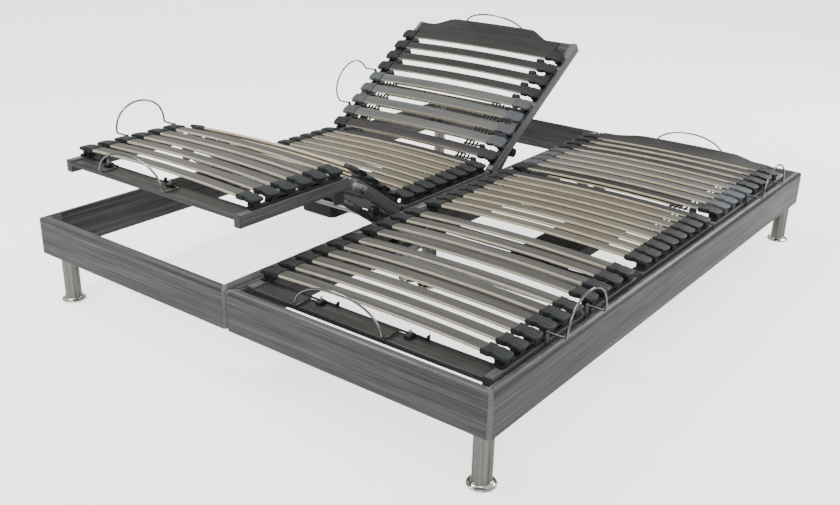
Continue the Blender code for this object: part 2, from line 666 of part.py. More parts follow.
def drive_housing(half):
    """Twin-motor housing with an open seat and a crank pocket for each lift tube."""
    top = RAIL_BOTTOM - CROSS_TUBE_HEIGHT + 0.001 - PLAY
    low_y, high_y = leg_lift_axis()[0] - DRIVE_END, back_lift_axis()[0] + DRIVE_END
    body = box((half.x(0) - DRIVE_HALF_WIDTH, low_y, top - DRIVE_HEIGHT),
               (half.x(0) + DRIVE_HALF_WIDTH, high_y, top))
    bm = bmesh.new()
    bm.from_mesh(body.data)
    bmesh.ops.bevel(bm, geom=bm.edges[:], offset=DRIVE_EDGE, segments=2, profile=0.5,
                    affect="EDGES")
    bm.to_mesh(body.data)
    bm.free()
    cutters = []
    for y, z in (back_lift_axis(), leg_lift_axis()):
        seat = LIFT_RADIUS + 0.001
        cutters.append(box((half.x(0) - DRIVE_HALF_WIDTH - 0.01, y - seat, z - seat),
                           (half.x(0) + DRIVE_HALF_WIDTH + 0.01, y + seat, top + 0.01)))
        cutters.append(box((half.x(0) - POCKET_WIDTH / 2, y - POCKET_REACH, top - DRIVE_HEIGHT + 0.006),
                           (half.x(0) + POCKET_WIDTH / 2, y + POCKET_REACH, top + 0.01)))
    return finish(combine(body, cutters, "DIFFERENCE"), half.label("drive_housing"), "housing")


# Wire loops

def wire(points):
    """A round wire through the points, as a closed mesh."""
    curve = bpy.data.curves.new("wire", "CURVE")
    curve.dimensions = "3D"
    curve.bevel_depth = WIRE_RADIUS
    curve.bevel_resolution = 1
    curve.use_fill_caps = True
    spline = curve.splines.new("POLY")
    spline.points.add(len(points) - 1)
    for spot, place in zip(spline.points, points):
        spot.co = (*place, 1.0)
    guide = add_object("wire", curve)
    depsgraph = bpy.context.evaluated_depsgraph_get()
    mesh = bpy.data.meshes.new_from_object(guide.evaluated_get(depsgraph))
    bpy.data.objects.remove(guide)
    bm = bmesh.new()
    bm.from_mesh(mesh)
    bmesh.ops.remove_doubles(bm, verts=bm.verts, dist=1e-5)
    bmesh.ops.recalc_face_normals(bm, faces=bm.faces)
    bm.to_mesh(mesh)
    bm.free()
    return add_object("wire", mesh)


def arch(low, high, height):
    """Points up from one foot, over a round arch and down to the other foot."""
    low, high = Vector(low), Vector(high)
    middle, reach = (low + high) / 2, (high - low) / 2
    points = []
    for index in range(LOOP_STEPS + 1):
        turn = math.pi * index / LOOP_STEPS
        rise = height * math.sin(turn) ** 0.85
        points.append(middle - reach * math.cos(turn) + Vector((0, 0, rise)))
    return points


def side_loop(half, name, low_y, high_y, pivot):
    """Wire loop past the outer side board, carried out between the caps from two clamps."""
    z = RAIL_TOP + WIRE_OVER_RAIL
    start = RAIL_OUTER + GAP + CLAMP_DEPTH / 2
    foot = HALF_WIDTH / 2 + LOOP_OVERHANG
    bend = WIRE_RADIUS * 2
    points = [(half.x(start), low_y, z), (half.x(foot - bend), low_y, z)]
    points += arch((half.x(foot), low_y, z + bend), (half.x(foot), high_y, z + bend),
                   SIDE_LOOP_HEIGHT - bend)
    points += [(half.x(foot - bend), high_y, z), (half.x(start), high_y, z)]
    pieces = [wire(points)]
    for y in (low_y, high_y):
        pieces.append(mirror_box(half, (RAIL_OUTER + GAP, y - CLAMP / 2, RAIL_BOTTOM + 0.008),
                                 (RAIL_OUTER + GAP + CLAMP_DEPTH, y + CLAMP / 2,
                                  z + WIRE_RADIUS + 0.001)))
    return finish(combine(pieces[0], pieces[1:]), half.label(name), "chrome", pivot, smooth=40)


def end_loop(half, name, end_y, way, shift, pivot):
    """Wire loop standing just past an end plank, on two clamps. way points outwards."""
    top = RAIL_TOP - PLANK_DROP
    bottom = top - PLANK_THICKNESS
    y = end_y + way * END_LOOP_OUT
    reach = END_LOOP_WIDTH / 2
    low, high = half.middle + shift - reach, half.middle + shift + reach
    points = [(low, y, bottom + 0.003),
              *arch((low, y, top - 0.004), (high, y, top - 0.004), END_LOOP_HEIGHT),
              (high, y, bottom + 0.003)]
    pieces = [wire(points)]
    ys = sorted((end_y + way * GAP, y + way * (WIRE_RADIUS + 0.001)))
    for x in (low, high):
        pieces.append(box((x - CLAMP / 2, ys[0], bottom), (x + CLAMP / 2, ys[1], top - 0.002)))
    return finish(combine(pieces[0], pieces[1:]), half.label(name), "chrome", pivot, smooth=40)


def build_half(half):
    build_box(half)
    seat_frame(half)
    slat_bank(half, "seat_slats", seat_rows(), "wood_slat")
    drive_housing(half)
    calf_link(half)
    lift_tube(half, "back_lift_tube", back_lift_axis(), BACK_ARM, BACK_ARM_REST, 1, half.back_lift)
    lift_tube(half, "leg_lift_tube", leg_lift_axis(), LEG_ARM, LEG_ARM_REST, -1, half.leg_lift)

    back_frame(half)
    low_back = back_rows()[:LOW_BACK_COUNT]
    high_back = back_rows()[LOW_BACK_COUNT:-1]
    slat_bank(half, "lumbar_slats", low_back, "grey_slat", half.back)
    slat_bank(half, "back_slats", high_back, "dark_slat", half.back)
    head_panel(half)
    slot = BACK_HINGE_Y + BACK_FIRST + BACK_PITCH * half.back_loop_slot
    side_loop(half, "back_side_loop", slot, slot + BACK_PITCH * SIDE_LOOP_PITCHES, half.back)
    end_loop(half, "head_loop", HEAD_Y, 1, 0.0, half.back)

    thigh_frame(half)
    slat_bank(half, "thigh_slats", thigh_rows(), "wood_slat", half.thigh)
    calf_frame(half)
    slat_bank(half, "calf_slats", calf_rows(), "wood_slat", half.calf)
    slot = FOOT_Y + CALF_FIRST + CALF_PITCH * 2.5
    side_loop(half, "calf_side_loop", slot, slot + CALF_PITCH * SIDE_LOOP_PITCHES, half.calf)
    end_loop(half, "foot_loop", FOOT_Y, -1, FOOT_LOOP_SHIFT, half.calf)


clear_scene()
build_half(Half("left", -1, LEFT_BACK, LEFT_THIGH, LEFT_FOOT_LEG_INSET, 1.5))
build_half(Half("right", 1, RIGHT_BACK, RIGHT_THIGH, LEG_INSET, 3.5))
bpy.context.view_layer.update()
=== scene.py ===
import json
import math

import bmesh
import bpy
import numpy as np
from mathutils import Matrix, Vector


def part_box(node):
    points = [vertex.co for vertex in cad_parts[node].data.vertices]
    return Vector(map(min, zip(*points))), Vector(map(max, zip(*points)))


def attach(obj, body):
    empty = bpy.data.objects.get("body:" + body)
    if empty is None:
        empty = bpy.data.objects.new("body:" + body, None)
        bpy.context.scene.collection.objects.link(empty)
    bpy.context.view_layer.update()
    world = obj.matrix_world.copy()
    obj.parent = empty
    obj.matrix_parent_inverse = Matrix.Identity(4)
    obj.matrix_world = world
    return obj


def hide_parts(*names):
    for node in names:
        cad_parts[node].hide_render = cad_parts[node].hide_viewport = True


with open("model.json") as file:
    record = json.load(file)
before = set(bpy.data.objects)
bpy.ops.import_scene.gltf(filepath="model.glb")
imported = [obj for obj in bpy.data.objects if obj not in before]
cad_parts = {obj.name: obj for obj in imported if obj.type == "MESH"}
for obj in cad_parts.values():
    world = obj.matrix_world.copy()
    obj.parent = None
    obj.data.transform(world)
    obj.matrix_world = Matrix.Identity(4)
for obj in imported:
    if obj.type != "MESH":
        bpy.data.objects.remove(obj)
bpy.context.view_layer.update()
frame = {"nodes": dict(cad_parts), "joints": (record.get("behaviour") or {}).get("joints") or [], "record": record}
joints = {joint["name"]: joint for joint in frame["joints"]}
ratios = {link["joint"]: link["ratio"] for link in frame["record"]["behaviour"]["couplings"]}
chance = np.random.default_rng(11)
xAxis, yAxis, zAxis = np.eye(3)
print("frame loaded")


# Node helpers

def feed(tree, node, inputs):
    # A socket is linked and anything else is set; colours are given without their alpha
    for key, value in inputs.items():
        target = node.inputs[key]
        if isinstance(value, bpy.types.NodeSocket):
            tree.links.new(value, target)
        else:
            target.default_value = (*value, 1.0) if target.type == "RGBA" else value


def addNode(tree, kind, inputs=None, **settings):
    node = tree.nodes.new(kind)
    for key, value in settings.items():
        setattr(node, key, value)
    feed(tree, node, inputs or {})
    return node.outputs


def newGroup(name, inputs, outputs):
    # An input without a value is a vector
    group = bpy.data.node_groups.new(name, "ShaderNodeTree")
    for label, value in inputs.items():
        kind = "NodeSocketVector" if value is None else "NodeSocketFloat"
        socket = group.interface.new_socket(name=label, in_out="INPUT", socket_type=kind)
        if value is not None:
            socket.default_value = value
    for label in outputs:
        group.interface.new_socket(name=label, in_out="OUTPUT", socket_type="NodeSocketFloat")
    return group, group.nodes.new("NodeGroupInput").outputs, group.nodes.new("NodeGroupOutput")


def noise(tree, vector, scale, detail, rough, warp=0.0):
    return addNode(tree, "ShaderNodeTexNoise", {"Vector": vector, "Scale": scale, "Detail": detail,
                                                "Roughness": rough, "Distortion": warp})["Fac"]


def drawnOut(tree, vector, share):
    # What is drawn on it gets longer along U
    return addNode(tree, "ShaderNodeVectorMath", {0: vector, 1: (share, 1.0, 1.0)}, operation="MULTIPLY")[0]


def ranged(tree, value, low, high, newLow=0.0, newHigh=1.0):
    return addNode(tree, "ShaderNodeMapRange", {"Value": value, "From Min": low, "From Max": high,
                                                "To Min": newLow, "To Max": newHigh})["Result"]


def between(tree, share, low, high):
    return ranged(tree, share, 0.0, 1.0, low, high)


def blended(tree, share, first, second):
    return addNode(tree, "ShaderNodeMix", {0: share, 6: first, 7: second}, data_type="RGBA")[2]


def calc(tree, operation, first, second=0.0):
    return addNode(tree, "ShaderNodeMath", {0: first, 1: second}, operation=operation)[0]


def mixed(tree, first, firstShare, second, secondShare):
    return calc(tree, "ADD", calc(tree, "MULTIPLY", first, firstShare),
                calc(tree, "MULTIPLY", second, secondShare))


# Shared effects

def woodGrain():
    # Long streaks, cathedral bands and short pores
    group, given, made = newGroup(
        "woodGrain", {"Surface": None, "Streaks": 60.0, "Bands": 9.0, "Pores": 0.5}, ["Tone", "Height"])
    surface = given["Surface"]
    streaks = noise(group, drawnOut(group, surface, 0.014), given["Streaks"], 5.0, 0.62, 0.04)
    bands = noise(group, drawnOut(group, surface, 0.045), given["Bands"], 3.0, 0.5, 0.2)
    pores = noise(group, drawnOut(group, surface, 0.02), 620.0, 2.0, 0.5)
    tone = ranged(group, mixed(group, streaks, 0.62, bands, 0.38), 0.36, 0.64)
    depth = calc(group, "MULTIPLY", ranged(group, pores, 0.54, 0.70), given["Pores"])
    feed(group, made, {
        "Tone": calc(group, "SUBTRACT", tone, calc(group, "MULTIPLY", depth, 0.45)),
        "Height": calc(group, "SUBTRACT", calc(group, "MULTIPLY", tone, 0.4), depth)})
    return group


def handling():
    # Cloudy patches and fine specks: where a surface has been touched, and its dust
    group, given, made = newGroup("handling", {"Place": None, "Size": 9.0}, ["Patches", "Specks"])
    patches = noise(group, given["Place"], given["Size"], 5.0, 0.6, 0.3)
    specks = noise(group, given["Place"], 900.0, 2.0, 0.5)
    feed(group, made, {"Patches": ranged(group, patches, 0.35, 0.68),
                       "Specks": ranged(group, specks, 0.62, 0.72)})
    return group


def moulded():
    # The fine pebbled skin of moulded plastic and rubber
    group, given, made = newGroup("moulded", {"Place": None, "Grit": 1400.0}, ["Height"])
    pebbles = noise(group, given["Place"], given["Grit"], 3.0, 0.6)
    swell = noise(group, given["Place"], 70.0, 2.0, 0.5)
    feed(group, made, {"Height": mixed(group, pebbles, 0.7, swell, 0.5)})
    return group


def brushing():
    # Hairlines left by a belt; drawn at a coarse scale, the same streaks are broad bands of painted reflection
    group, given, made = newGroup("brushing", {"Surface": None, "Lines": 900.0}, ["Lines"])
    brushLinesAndPaintedBands = noise(group, drawnOut(group, given["Surface"], 0.02), given["Lines"], 4.0, 0.7)
    feed(group, made, {"Lines": ranged(group, brushLinesAndPaintedBands, 0.3, 0.7)})
    return group


effects = {"grain": woodGrain(), "brushing": brushing(), "handling": handling(), "moulded": moulded()}


# Materials

def newMaterial(name, **settings):
    material = bpy.data.materials.new(name)
    material.use_nodes = True
    shader = material.node_tree.nodes["Principled BSDF"]
    for label, value in settings.items():
        shader.inputs[label.replace("_", " ")].default_value = value
    return material, material.node_tree, shader


def surfaceOf(tree):
    return addNode(tree, "ShaderNodeUVMap", uv_map="surface")[0]


def edgeOf(tree):
    return addNode(tree, "ShaderNodeAttribute", attribute_name="edge")["Fac"]


def effect(tree, name, **values):
    # Grain and brushing follow the piece's own surface, and the others the object's space
    node = tree.nodes.new("ShaderNodeGroup")
    node.node_tree = effects[name]
    if name in ("grain", "brushing"):
        values["Surface"] = surfaceOf(tree)
    else:
        values["Place"] = addNode(tree, "ShaderNodeTexCoord")["Object"]
    feed(tree, node, values)
    return node.outputs


def dress(tree, shader, colour, rough, height, strength, distance):
    bump = addNode(tree, "ShaderNodeBump", {"Height": height, "Strength": strength, "Distance": distance})
    feed(tree, shader, {"Base Color": colour, "Roughness": rough, "Normal": bump[0]})


def ramp(tree, share, stops):
    node = tree.nodes.new("ShaderNodeValToRGB")
    feed(tree, node, {"Fac": share})
    elements = node.color_ramp.elements
    while len(elements) < len(stops):
        elements.new(0.5)
    for element, (position, colour) in zip(elements, stops.items()):
        element.position = position
        element.color = (*colour, 1.0)
    return node.outputs[0]


def grey(value, tint=(1.0, 1.0, 1.0)):
    return tuple(value * part for part in tint)


def tones(dark, middle, light):
    return {0.0: dark, 0.5: middle, 1.0: light}


ply = {"layer": 0.0016, "glue": (0.64, 0.56, 0.38), "veneer": (0.94, 0.90, 0.73),
       "stain": (0.42, 0.31, 0.18),
       "under": tones((0.20, 0.13, 0.065), (0.36, 0.26, 0.14), (0.52, 0.41, 0.25))}


def bareWood(tree, tone, coat):
    # "edge" is 1 on the bare narrow sides, with their glued layers, 0.5 underneath and 0 on the coat
    across = addNode(tree, "ShaderNodeSeparateXYZ", {0: surfaceOf(tree)})["Y"]
    layers = calc(tree, "SINE", calc(tree, "MULTIPLY", across, 2 * math.pi / ply["layer"]))
    side = blended(tree, ranged(tree, layers, -1.0, 1.0), ply["glue"], ply["veneer"])
    stain = effect(tree, "handling", Size=45.0)["Patches"]
    side = blended(tree, between(tree, stain, 0.0, 0.3), side, ply["stain"])
    edge = edgeOf(tree)
    under = blended(tree, ranged(tree, edge, 0.2, 0.3), coat, ramp(tree, tone, ply["under"]))
    return blended(tree, ranged(tree, edge, 0.7, 0.8), under, side)


def wood(name, stops, rough, streaks, bands, pores, bump, patches=7.0, bare=False):
    # A printed or coated wood face: tones along a ramp, dulled by handling
    material, tree, shader = newMaterial(name, Specular_IOR_Level=0.4)
    grain = effect(tree, "grain", Streaks=streaks, Bands=bands, Pores=pores)
    touch = effect(tree, "handling", Size=patches)["Patches"]
    face = ramp(tree, grain["Tone"], stops)
    face = blended(tree, between(tree, touch, 0.0, 0.08), face, (0.22, 0.22, 0.21))
    if bare:
        face = bareWood(tree, grain["Tone"], face)
    dull = calc(tree, "ADD", between(tree, grain["Tone"], rough + 0.08, rough),
                between(tree, touch, 0.0, 0.08))
    dress(tree, shader, face, dull, grain["Height"], *bump)
    return material


def skin(name, dark, light, rough, patches, grit, bump, specks=None, metallic=0.0, specular=0.5):
    # Rubber, plastic, paint or plated metal: two tones by handling, specks of dust, a pebbled skin
    material, tree, shader = newMaterial(name, Metallic=metallic, Specular_IOR_Level=specular)
    touch = effect(tree, "handling", Size=patches)
    tone = blended(tree, touch["Patches"], dark, light)
    if specks:
        tone = blended(tree, between(tree, touch["Specks"], 0.0, specks[0]), tone, specks[1])
    height = effect(tree, "moulded", Grit=grit)["Height"]
    dress(tree, shader, tone, between(tree, touch["Patches"], *rough), height, *bump)
    return material


# Dark and light are the tube's tones for its brushing and for its broad bands of painted reflection
brushedTube = {"fineLines": 1300.0, "broadLines": 75.0, "dark": (0.085, 0.082, 0.074),
               "light": (0.46, 0.45, 0.41), "worn": (0.28, 0.265, 0.23), "polished": (0.70, 0.69, 0.66)}


def nickel():
    # "edge" marks the polished foot ring
    material, tree, shader = newMaterial("brushedNickel", Metallic=1.0)
    fine, broad = (effect(tree, "brushing", Lines=brushedTube[key])["Lines"]
                   for key in ("fineLines", "broadLines"))
    # Fine brushing hairlines mixed with broad vertical bands of painted reflection, standing in for the
    # surroundings the tube mirrors
    brushLinesAndPaintedBands = mixed(tree, fine, 0.3, broad, 0.7)
    touch = effect(tree, "handling", Size=16.0)["Patches"]
    polished = edgeOf(tree)
    # Painted reflection: the broad bands swing the tube's colour between the dark and light tones; only the fine
    # lines are real brushing
    tone = blended(tree, brushLinesAndPaintedBands, brushedTube["dark"], brushedTube["light"])
    tone = blended(tree, between(tree, touch, 0.0, 0.25), tone, brushedTube["worn"])
    rough = calc(tree, "ADD", between(tree, brushLinesAndPaintedBands, 0.17, 0.25), between(tree, touch, 0.0, 0.06))
    rough = calc(tree, "SUBTRACT", rough, calc(tree, "MULTIPLY", polished, 0.11))
    dress(tree, shader, blended(tree, polished, tone, brushedTube["polished"]), rough, brushLinesAndPaintedBands, 0.08, 0.0001)
    return material


def foil(name, lightness):
    stops = tones(grey(0.040 * lightness), grey(0.072 * lightness, (1.0, 0.985, 1.01)),
                  grey(0.125 * lightness))
    return wood(name, stops, 0.40, 260.0, 60.0, 0.4, (0.3, 0.0003))


def slatWood(name, rough, *stops):
    return wood(name, tones(*stops), rough, 190.0, 40.0, 0.5, (0.25, 0.0003), 5.0, True)


def rubber(name, dark, light):
    return skin(name, dark, light, (0.48, 0.62), 34.0, 1400.0, (0.22, 0.0002), (0.25, (0.12, 0.12, 0.115)),
                specular=0.45)


def plastic(name, colour, rough, grit=2200.0):
    return skin(name, colour, grey(1.22, colour), (rough, rough + 0.12), 12.0, grit, (0.12, 0.00015))


def metal(name, dark, light, rough, patches):
    return skin(name, dark, light, (rough, rough + 0.12), patches, 800.0, (0.05, 0.0001), metallic=1.0)


materials = {
    "laminate": wood("greyOakLaminate", {0.0: grey(0.034), 0.34: grey(0.066), 0.62: grey(0.102),
                                         1.0: grey(0.165)}, 0.27, 215.0, 48.0, 0.6, (0.35, 0.0004)),
    "foil": foil("greyRailFoil", 1.6),
    "foilPale": foil("paleRailFoil", 2.6),
    "plank": wood("darkPlankFoil", tones(grey(0.028), grey(0.056, (1.0, 1.0, 0.97)), grey(0.110)),
                  0.34, 210.0, 50.0, 0.4, (0.3, 0.0003)),
    "pale": slatWood("greyBeechSlat", 0.38, (0.050, 0.050, 0.044), (0.090, 0.088, 0.077),
                     (0.155, 0.149, 0.126)),
    "tan": slatWood("tanBeechSlat", 0.38, (0.085, 0.070, 0.050), (0.150, 0.127, 0.092),
                    (0.245, 0.210, 0.150)),
    "dark": slatWood("darkSlat", 0.34, (0.014, 0.013, 0.012), (0.025, 0.023, 0.021), (0.042, 0.039, 0.035)),
    "grey": slatWood("greySlat", 0.34, (0.092, 0.097, 0.088), (0.132, 0.138, 0.126), (0.190, 0.196, 0.180)),
    "blackRubber": rubber("blackCapRubber", (0.009, 0.012, 0.0115), (0.018, 0.024, 0.0225)),
    "greyRubber": rubber("greyCapRubber", (0.078, 0.085, 0.094), (0.112, 0.120, 0.131)),
    "corner": plastic("greyCornerPlastic", (0.145, 0.155, 0.165), 0.28),
    "endCap": plastic("greyEndCapPlastic", (0.058, 0.064, 0.072), 0.34),
    "housing": plastic("blackHousingPlastic", (0.020, 0.020, 0.022), 0.42, 1500.0),
    "nickel": nickel(),
    "chrome": metal("chromedWire", (0.20, 0.20, 0.20), (0.34, 0.34, 0.335), 0.12, 30.0),
    "zinc": metal("zincPlate", (0.40, 0.41, 0.43), (0.60, 0.61, 0.63), 0.26, 60.0),
    "steel": skin("greyPowderCoat", (0.085, 0.087, 0.092), (0.125, 0.127, 0.132), (0.42, 0.55), 11.0,
                  1900.0, (0.3, 0.0002), (0.5, (0.22, 0.22, 0.22))),
}
print("materials made:", len(materials))


# Surfaces

class Shape:
    # Points, faces, surface coordinates and edge marks, gathered as arrays before they become a mesh
    def __init__(self):
        self.points, self.faces, self.surface, self.marks = [], [], [], []
        self.count = 0

    def add(self, points, surface, faces, marks):
        self.points.append(points.reshape(-1, 3))
        self.surface.append(surface.reshape(-1, 2))
        self.faces.append(faces + self.count)
        self.marks.append(np.broadcast_to(np.asarray(marks, float).ravel(), len(faces)))
        self.count += self.points[-1].shape[0]

    def grid(self, points, surface, marks=0.0):
        # Quads between neighbours of a rows by columns grid
        rows, columns = points.shape[:2]
        row, column = np.meshgrid(np.arange(rows - 1), np.arange(columns - 1), indexing="ij")
        first = (row * columns + column).ravel()
        faces = np.stack([first, first + 1, first + columns + 1, first + columns], axis=1)
        self.add(points, surface, faces, marks)

    def lid(self, ring, surface, mark=0.0):
        self.add(ring, surface, np.arange(len(ring))[None, :], mark)

    def mesh(self, name, place):
        mesh = bpy.data.meshes.new(name)
        points = place(np.concatenate(self.points))
        corners = np.concatenate([faces.ravel() for faces in self.faces])
        sizes = np.concatenate([np.full(len(faces), faces.shape[1]) for faces in self.faces])
        starts = np.concatenate([[0], np.cumsum(sizes)[:-1]])
        mesh.vertices.add(len(points))
        mesh.vertices.foreach_set("co", points.astype(np.float32).ravel())
        mesh.loops.add(len(corners))
        mesh.loops.foreach_set("vertex_index", corners.astype(np.int32))
        mesh.polygons.add(len(sizes))
        mesh.polygons.foreach_set("loop_start", starts.astype(np.int32))
        mesh.polygons.foreach_set("loop_total", sizes.astype(np.int32))
        mesh.update(calc_edges=True)
        surface = np.concatenate(self.surface)[corners]
        mesh.uv_layers.new(name="surface").data.foreach_set("uv", surface.astype(np.float32).ravel())
        marks = np.repeat(np.concatenate(self.marks), sizes)
        mesh.attributes.new("edge", "FLOAT", "CORNER").data.foreach_set("value", marks.astype(np.float32))
        bm = bmesh.new()
        bm.from_mesh(mesh)
        bmesh.ops.remove_doubles(bm, verts=bm.verts, dist=1e-6)
        bmesh.ops.dissolve_degenerate(bm, dist=1e-7, edges=bm.edges)
        bmesh.ops.recalc_face_normals(bm, faces=bm.faces)
        bm.to_mesh(mesh)
        bm.free()
        return mesh


def lengths(points):
    # Distance run so far at each point of a path
    steps = np.linalg.norm(np.diff(points, axis=0), axis=1)
    return np.concatenate([[0.0], np.cumsum(steps)])


def surfaceGrid(first, second):
    return np.stack(np.meshgrid(first, second, indexing="ij"), axis=-1)


def sweep(shape, outline, centres, across, up, marks=0.0, shift=(0.0, 0.0), endMark=None):
    # An outline carried along a path: point = centre + outline x times across + outline y times up
    centres, outline, marks = (np.asarray(part, float) for part in (centres, outline, marks))
    stations = len(centres)
    across, up = (np.broadcast_to(np.asarray(part, float), (stations, 3)) for part in (across, up))
    if outline.ndim == 2:
        outline = np.broadcast_to(outline, (stations, *outline.shape))
    ring = np.concatenate([outline, outline[:, :1]], axis=1)
    points = centres[:, None] + ring[:, :, :1] * across[:, None] + ring[:, :, 1:] * up[:, None]
    surface = surfaceGrid(lengths(centres), lengths(ring[stations // 2])) + np.asarray(shift)
    shape.grid(points, surface, np.tile(marks, stations - 1) if marks.ndim else marks)
    endMark = float(marks.max()) if endMark is None else endMark
    for end in (0, -1):
        shape.lid(points[end, :-1], outline[end] + np.asarray(shift), endMark)


def turned(shape, profile, centre, axis, sides=48, marks=0.0):
    # A profile of (radius, height) turned about an axis: centre + height * axis + radius * (cos, sin)
    profile, axis, marks = (np.asarray(part, float) for part in (profile, axis, marks))
    first = np.cross(axis, zAxis) if abs(axis[2]) < 0.9 else xAxis
    first = first / np.linalg.norm(first)
    turn = np.linspace(0.0, 2 * math.pi, sides + 1)
    ring = np.cos(turn)[:, None] * first + np.sin(turn)[:, None] * np.cross(axis, first)
    points = np.asarray(centre, float) + profile[:, None, 1:] * axis + profile[:, None, :1] * ring[None]
    surface = surfaceGrid(lengths(profile), turn * profile[:, 0].max())
    shape.grid(points, surface, np.repeat(marks, sides) if marks.ndim else marks)


def roundedBox(width, height, radius, steps=4):
    # Four quarter circles joined by straights: corner centre + radius times (cos, sin)
    turn = np.linspace(0.0, math.pi / 2, steps + 1)
    corners = []
    for quarter, (sx, sy) in enumerate(((1, 1), (-1, 1), (-1, -1), (1, -1))):
        angle = turn + quarter * math.pi / 2
        corners.append(np.stack([sx * (width / 2 - radius) + radius * np.cos(angle),
                                 sy * (height / 2 - radius) + radius * np.sin(angle)], axis=1))
    return np.concatenate(corners)


def roundBar(start, end, width, steps=12):
    # A bar with round ends: half circles about both end points
    start, end = np.asarray(start, float), np.asarray(end, float)
    lean = math.atan2(end[1] - start[1], end[0] - start[0])
    turn = np.linspace(-math.pi / 2, math.pi / 2, steps + 1) + lean
    half = width / 2 * np.stack([np.cos(turn), np.sin(turn)], axis=1)
    return np.concatenate([end + half, start - half])


def cutCorners(points, times):
    # Each pass keeps the ends and puts points at a quarter and three quarters of every stretch
    points = np.asarray(points, float)
    for _ in range(times):
        inner = np.stack([0.75 * points[:-1] + 0.25 * points[1:],
                          0.25 * points[:-1] + 0.75 * points[1:]], axis=1).reshape(-1, 3)
        points = np.concatenate([points[:1], inner, points[-1:]])
    return points


def cutOutline(points):
    # One pass of corner cutting on a closed outline, keeping its long sides
    following = np.roll(points, -1, axis=0)
    return np.stack([0.88 * points + 0.12 * following, 0.12 * points + 0.88 * following],
                    axis=1).reshape(-1, 2)


def wire(shape, path, radius, sides=14):
    # A circle carried along a path; its axes are turned as little as possible from station to station
    path = np.asarray(path, float)
    tangents = np.gradient(path, axis=0)
    tangents /= np.linalg.norm(tangents, axis=1)[:, None]
    side = np.cross(tangents[0], (0.31, 0.52, 0.79))
    beside = []
    for tangent in tangents:
        side = side - tangent * side.dot(tangent)
        side = side / np.linalg.norm(side)
        beside.append(side)
    turn = np.linspace(0.0, 2 * math.pi, sides, endpoint=False)
    circle = radius * np.stack([np.cos(turn), np.sin(turn)], axis=1)
    sweep(shape, circle, path, beside, np.cross(tangents, beside))


def softEnds(low, high, soft):
    # Places along a solid, and how far its outline is drawn in at each, so that both rims are softened
    places = np.array([low, low + soft * 0.3, low + soft, high - soft, high - soft * 0.3, high])
    return places, np.array([soft, soft * 0.3, 0.0, 0.0, soft * 0.3, soft])[:, None, None]


def block(shape, low, high, radius=0.001, axis=1):
    # A box with rounded long edges, carried along one axis
    low, high = np.minimum(low, high).astype(float), np.maximum(low, high).astype(float)
    others = [index for index in range(3) if index != axis]
    size = high - low
    places, shrink = softEnds(low[axis], high[axis], min(radius * 0.8, size[axis] * 0.2))
    outline = roundedBox(*size[others], radius, 3)
    centres = np.repeat((low + high)[None] / 2, len(places), axis=0)
    centres[:, axis] = places
    unit = np.eye(3)[others]
    sweep(shape, outline[None] * (1.0 - 2.0 * shrink / size[others]), centres, *unit)


def pad(shape, way, across, along, half, up, radius, axis=1):
    # A block on one side, given its reach across, its place and half depth along, and its levels
    low, high = (way * across[0], along - half, up[0]), (way * across[1], along + half, up[1])
    block(shape, low, high, radius, axis)


def plate(shape, outline, way, near, far, soft=0.0006):
    # A flat outline in along and up, with thickness across and softened rims
    places, shrink = softEnds(*sorted((way * near, way * far)), soft)
    middle = outline.mean(axis=0)
    reach = np.linalg.norm(outline - middle, axis=1)[None, :, None]
    rings = middle + (outline - middle)[None] * (1.0 - shrink / reach)
    sweep(shape, rings, places[:, None] * xAxis, yAxis, zAxis)


def roundHead(shape, centre, axis, radius=0.0045, height=0.0022, sides=20):
    # A domed screw or rivet head: height times the square root of one minus (radius share) squared
    turn = np.linspace(0.0, math.pi / 2, 6)
    dome = np.stack([radius * np.sin(turn), height * np.cos(turn)], axis=1)
    turned(shape, np.concatenate([dome, [[0.0, 0.0]]]), centre, axis, sides)


def disc(shape, radius, thick, centre, axis, sides):
    turned(shape, [(0.0, 0.0), (radius, 0.0), (radius, thick), (0.0, thick)], centre, axis, sides)


# The deck's sections and how pieces are made on them

railSizes = {"height": 0.038, "width": 0.025, "outer": 0.390, "round": 0.0024, "endCap": 0.0032,
             "capRound": 0.0016, "capProud": 0.0003}
railInner = railSizes["outer"] - railSizes["width"]


class Section:
    # Its own axes: across from the half's middle outwards, along away from its hinge, up from rail tops
    def __init__(self, body, side, hinge, degrees=0.0, towards=1, raiseBy=0.0):
        turn = math.radians(degrees)
        along = (0.0, towards * math.cos(turn), math.sin(turn))
        up = (0.0, -towards * math.sin(turn), math.cos(turn))
        self.body = body
        self.axes = np.array([side * xAxis, along, up])
        self.start = np.asarray(hinge, float) + self.axes[2] * raiseBy

    def place(self, points):
        return self.start + points @ self.axes

    def extent(self, node):
        # Lowest and highest corner of a CAD node in the section's own axes
        data = frame["nodes"][node].data
        points = np.empty(len(data.vertices) * 3)
        data.vertices.foreach_get("co", points)
        own = (points.reshape(-1, 3) - self.start) @ self.axes.T
        return own.min(axis=0), own.max(axis=0)


world = Section("base", 1, (0.0, 0.0, 0.0))


def makePiece(name, shape, section, material, nodes=(), smooth=38.0):
    mesh = shape.mesh(name, section.place)
    piece = bpy.data.objects.new(name, mesh)
    bpy.context.scene.collection.objects.link(piece)
    mesh.materials.append(materials[material])
    mesh.shade_smooth()
    mesh.set_sharp_from_angle(angle=math.radians(smooth))
    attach(piece, section.body)
    if nodes:
        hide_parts(*nodes)


def restAngle(joint):
    return -joints[joint]["range_deg"][0]


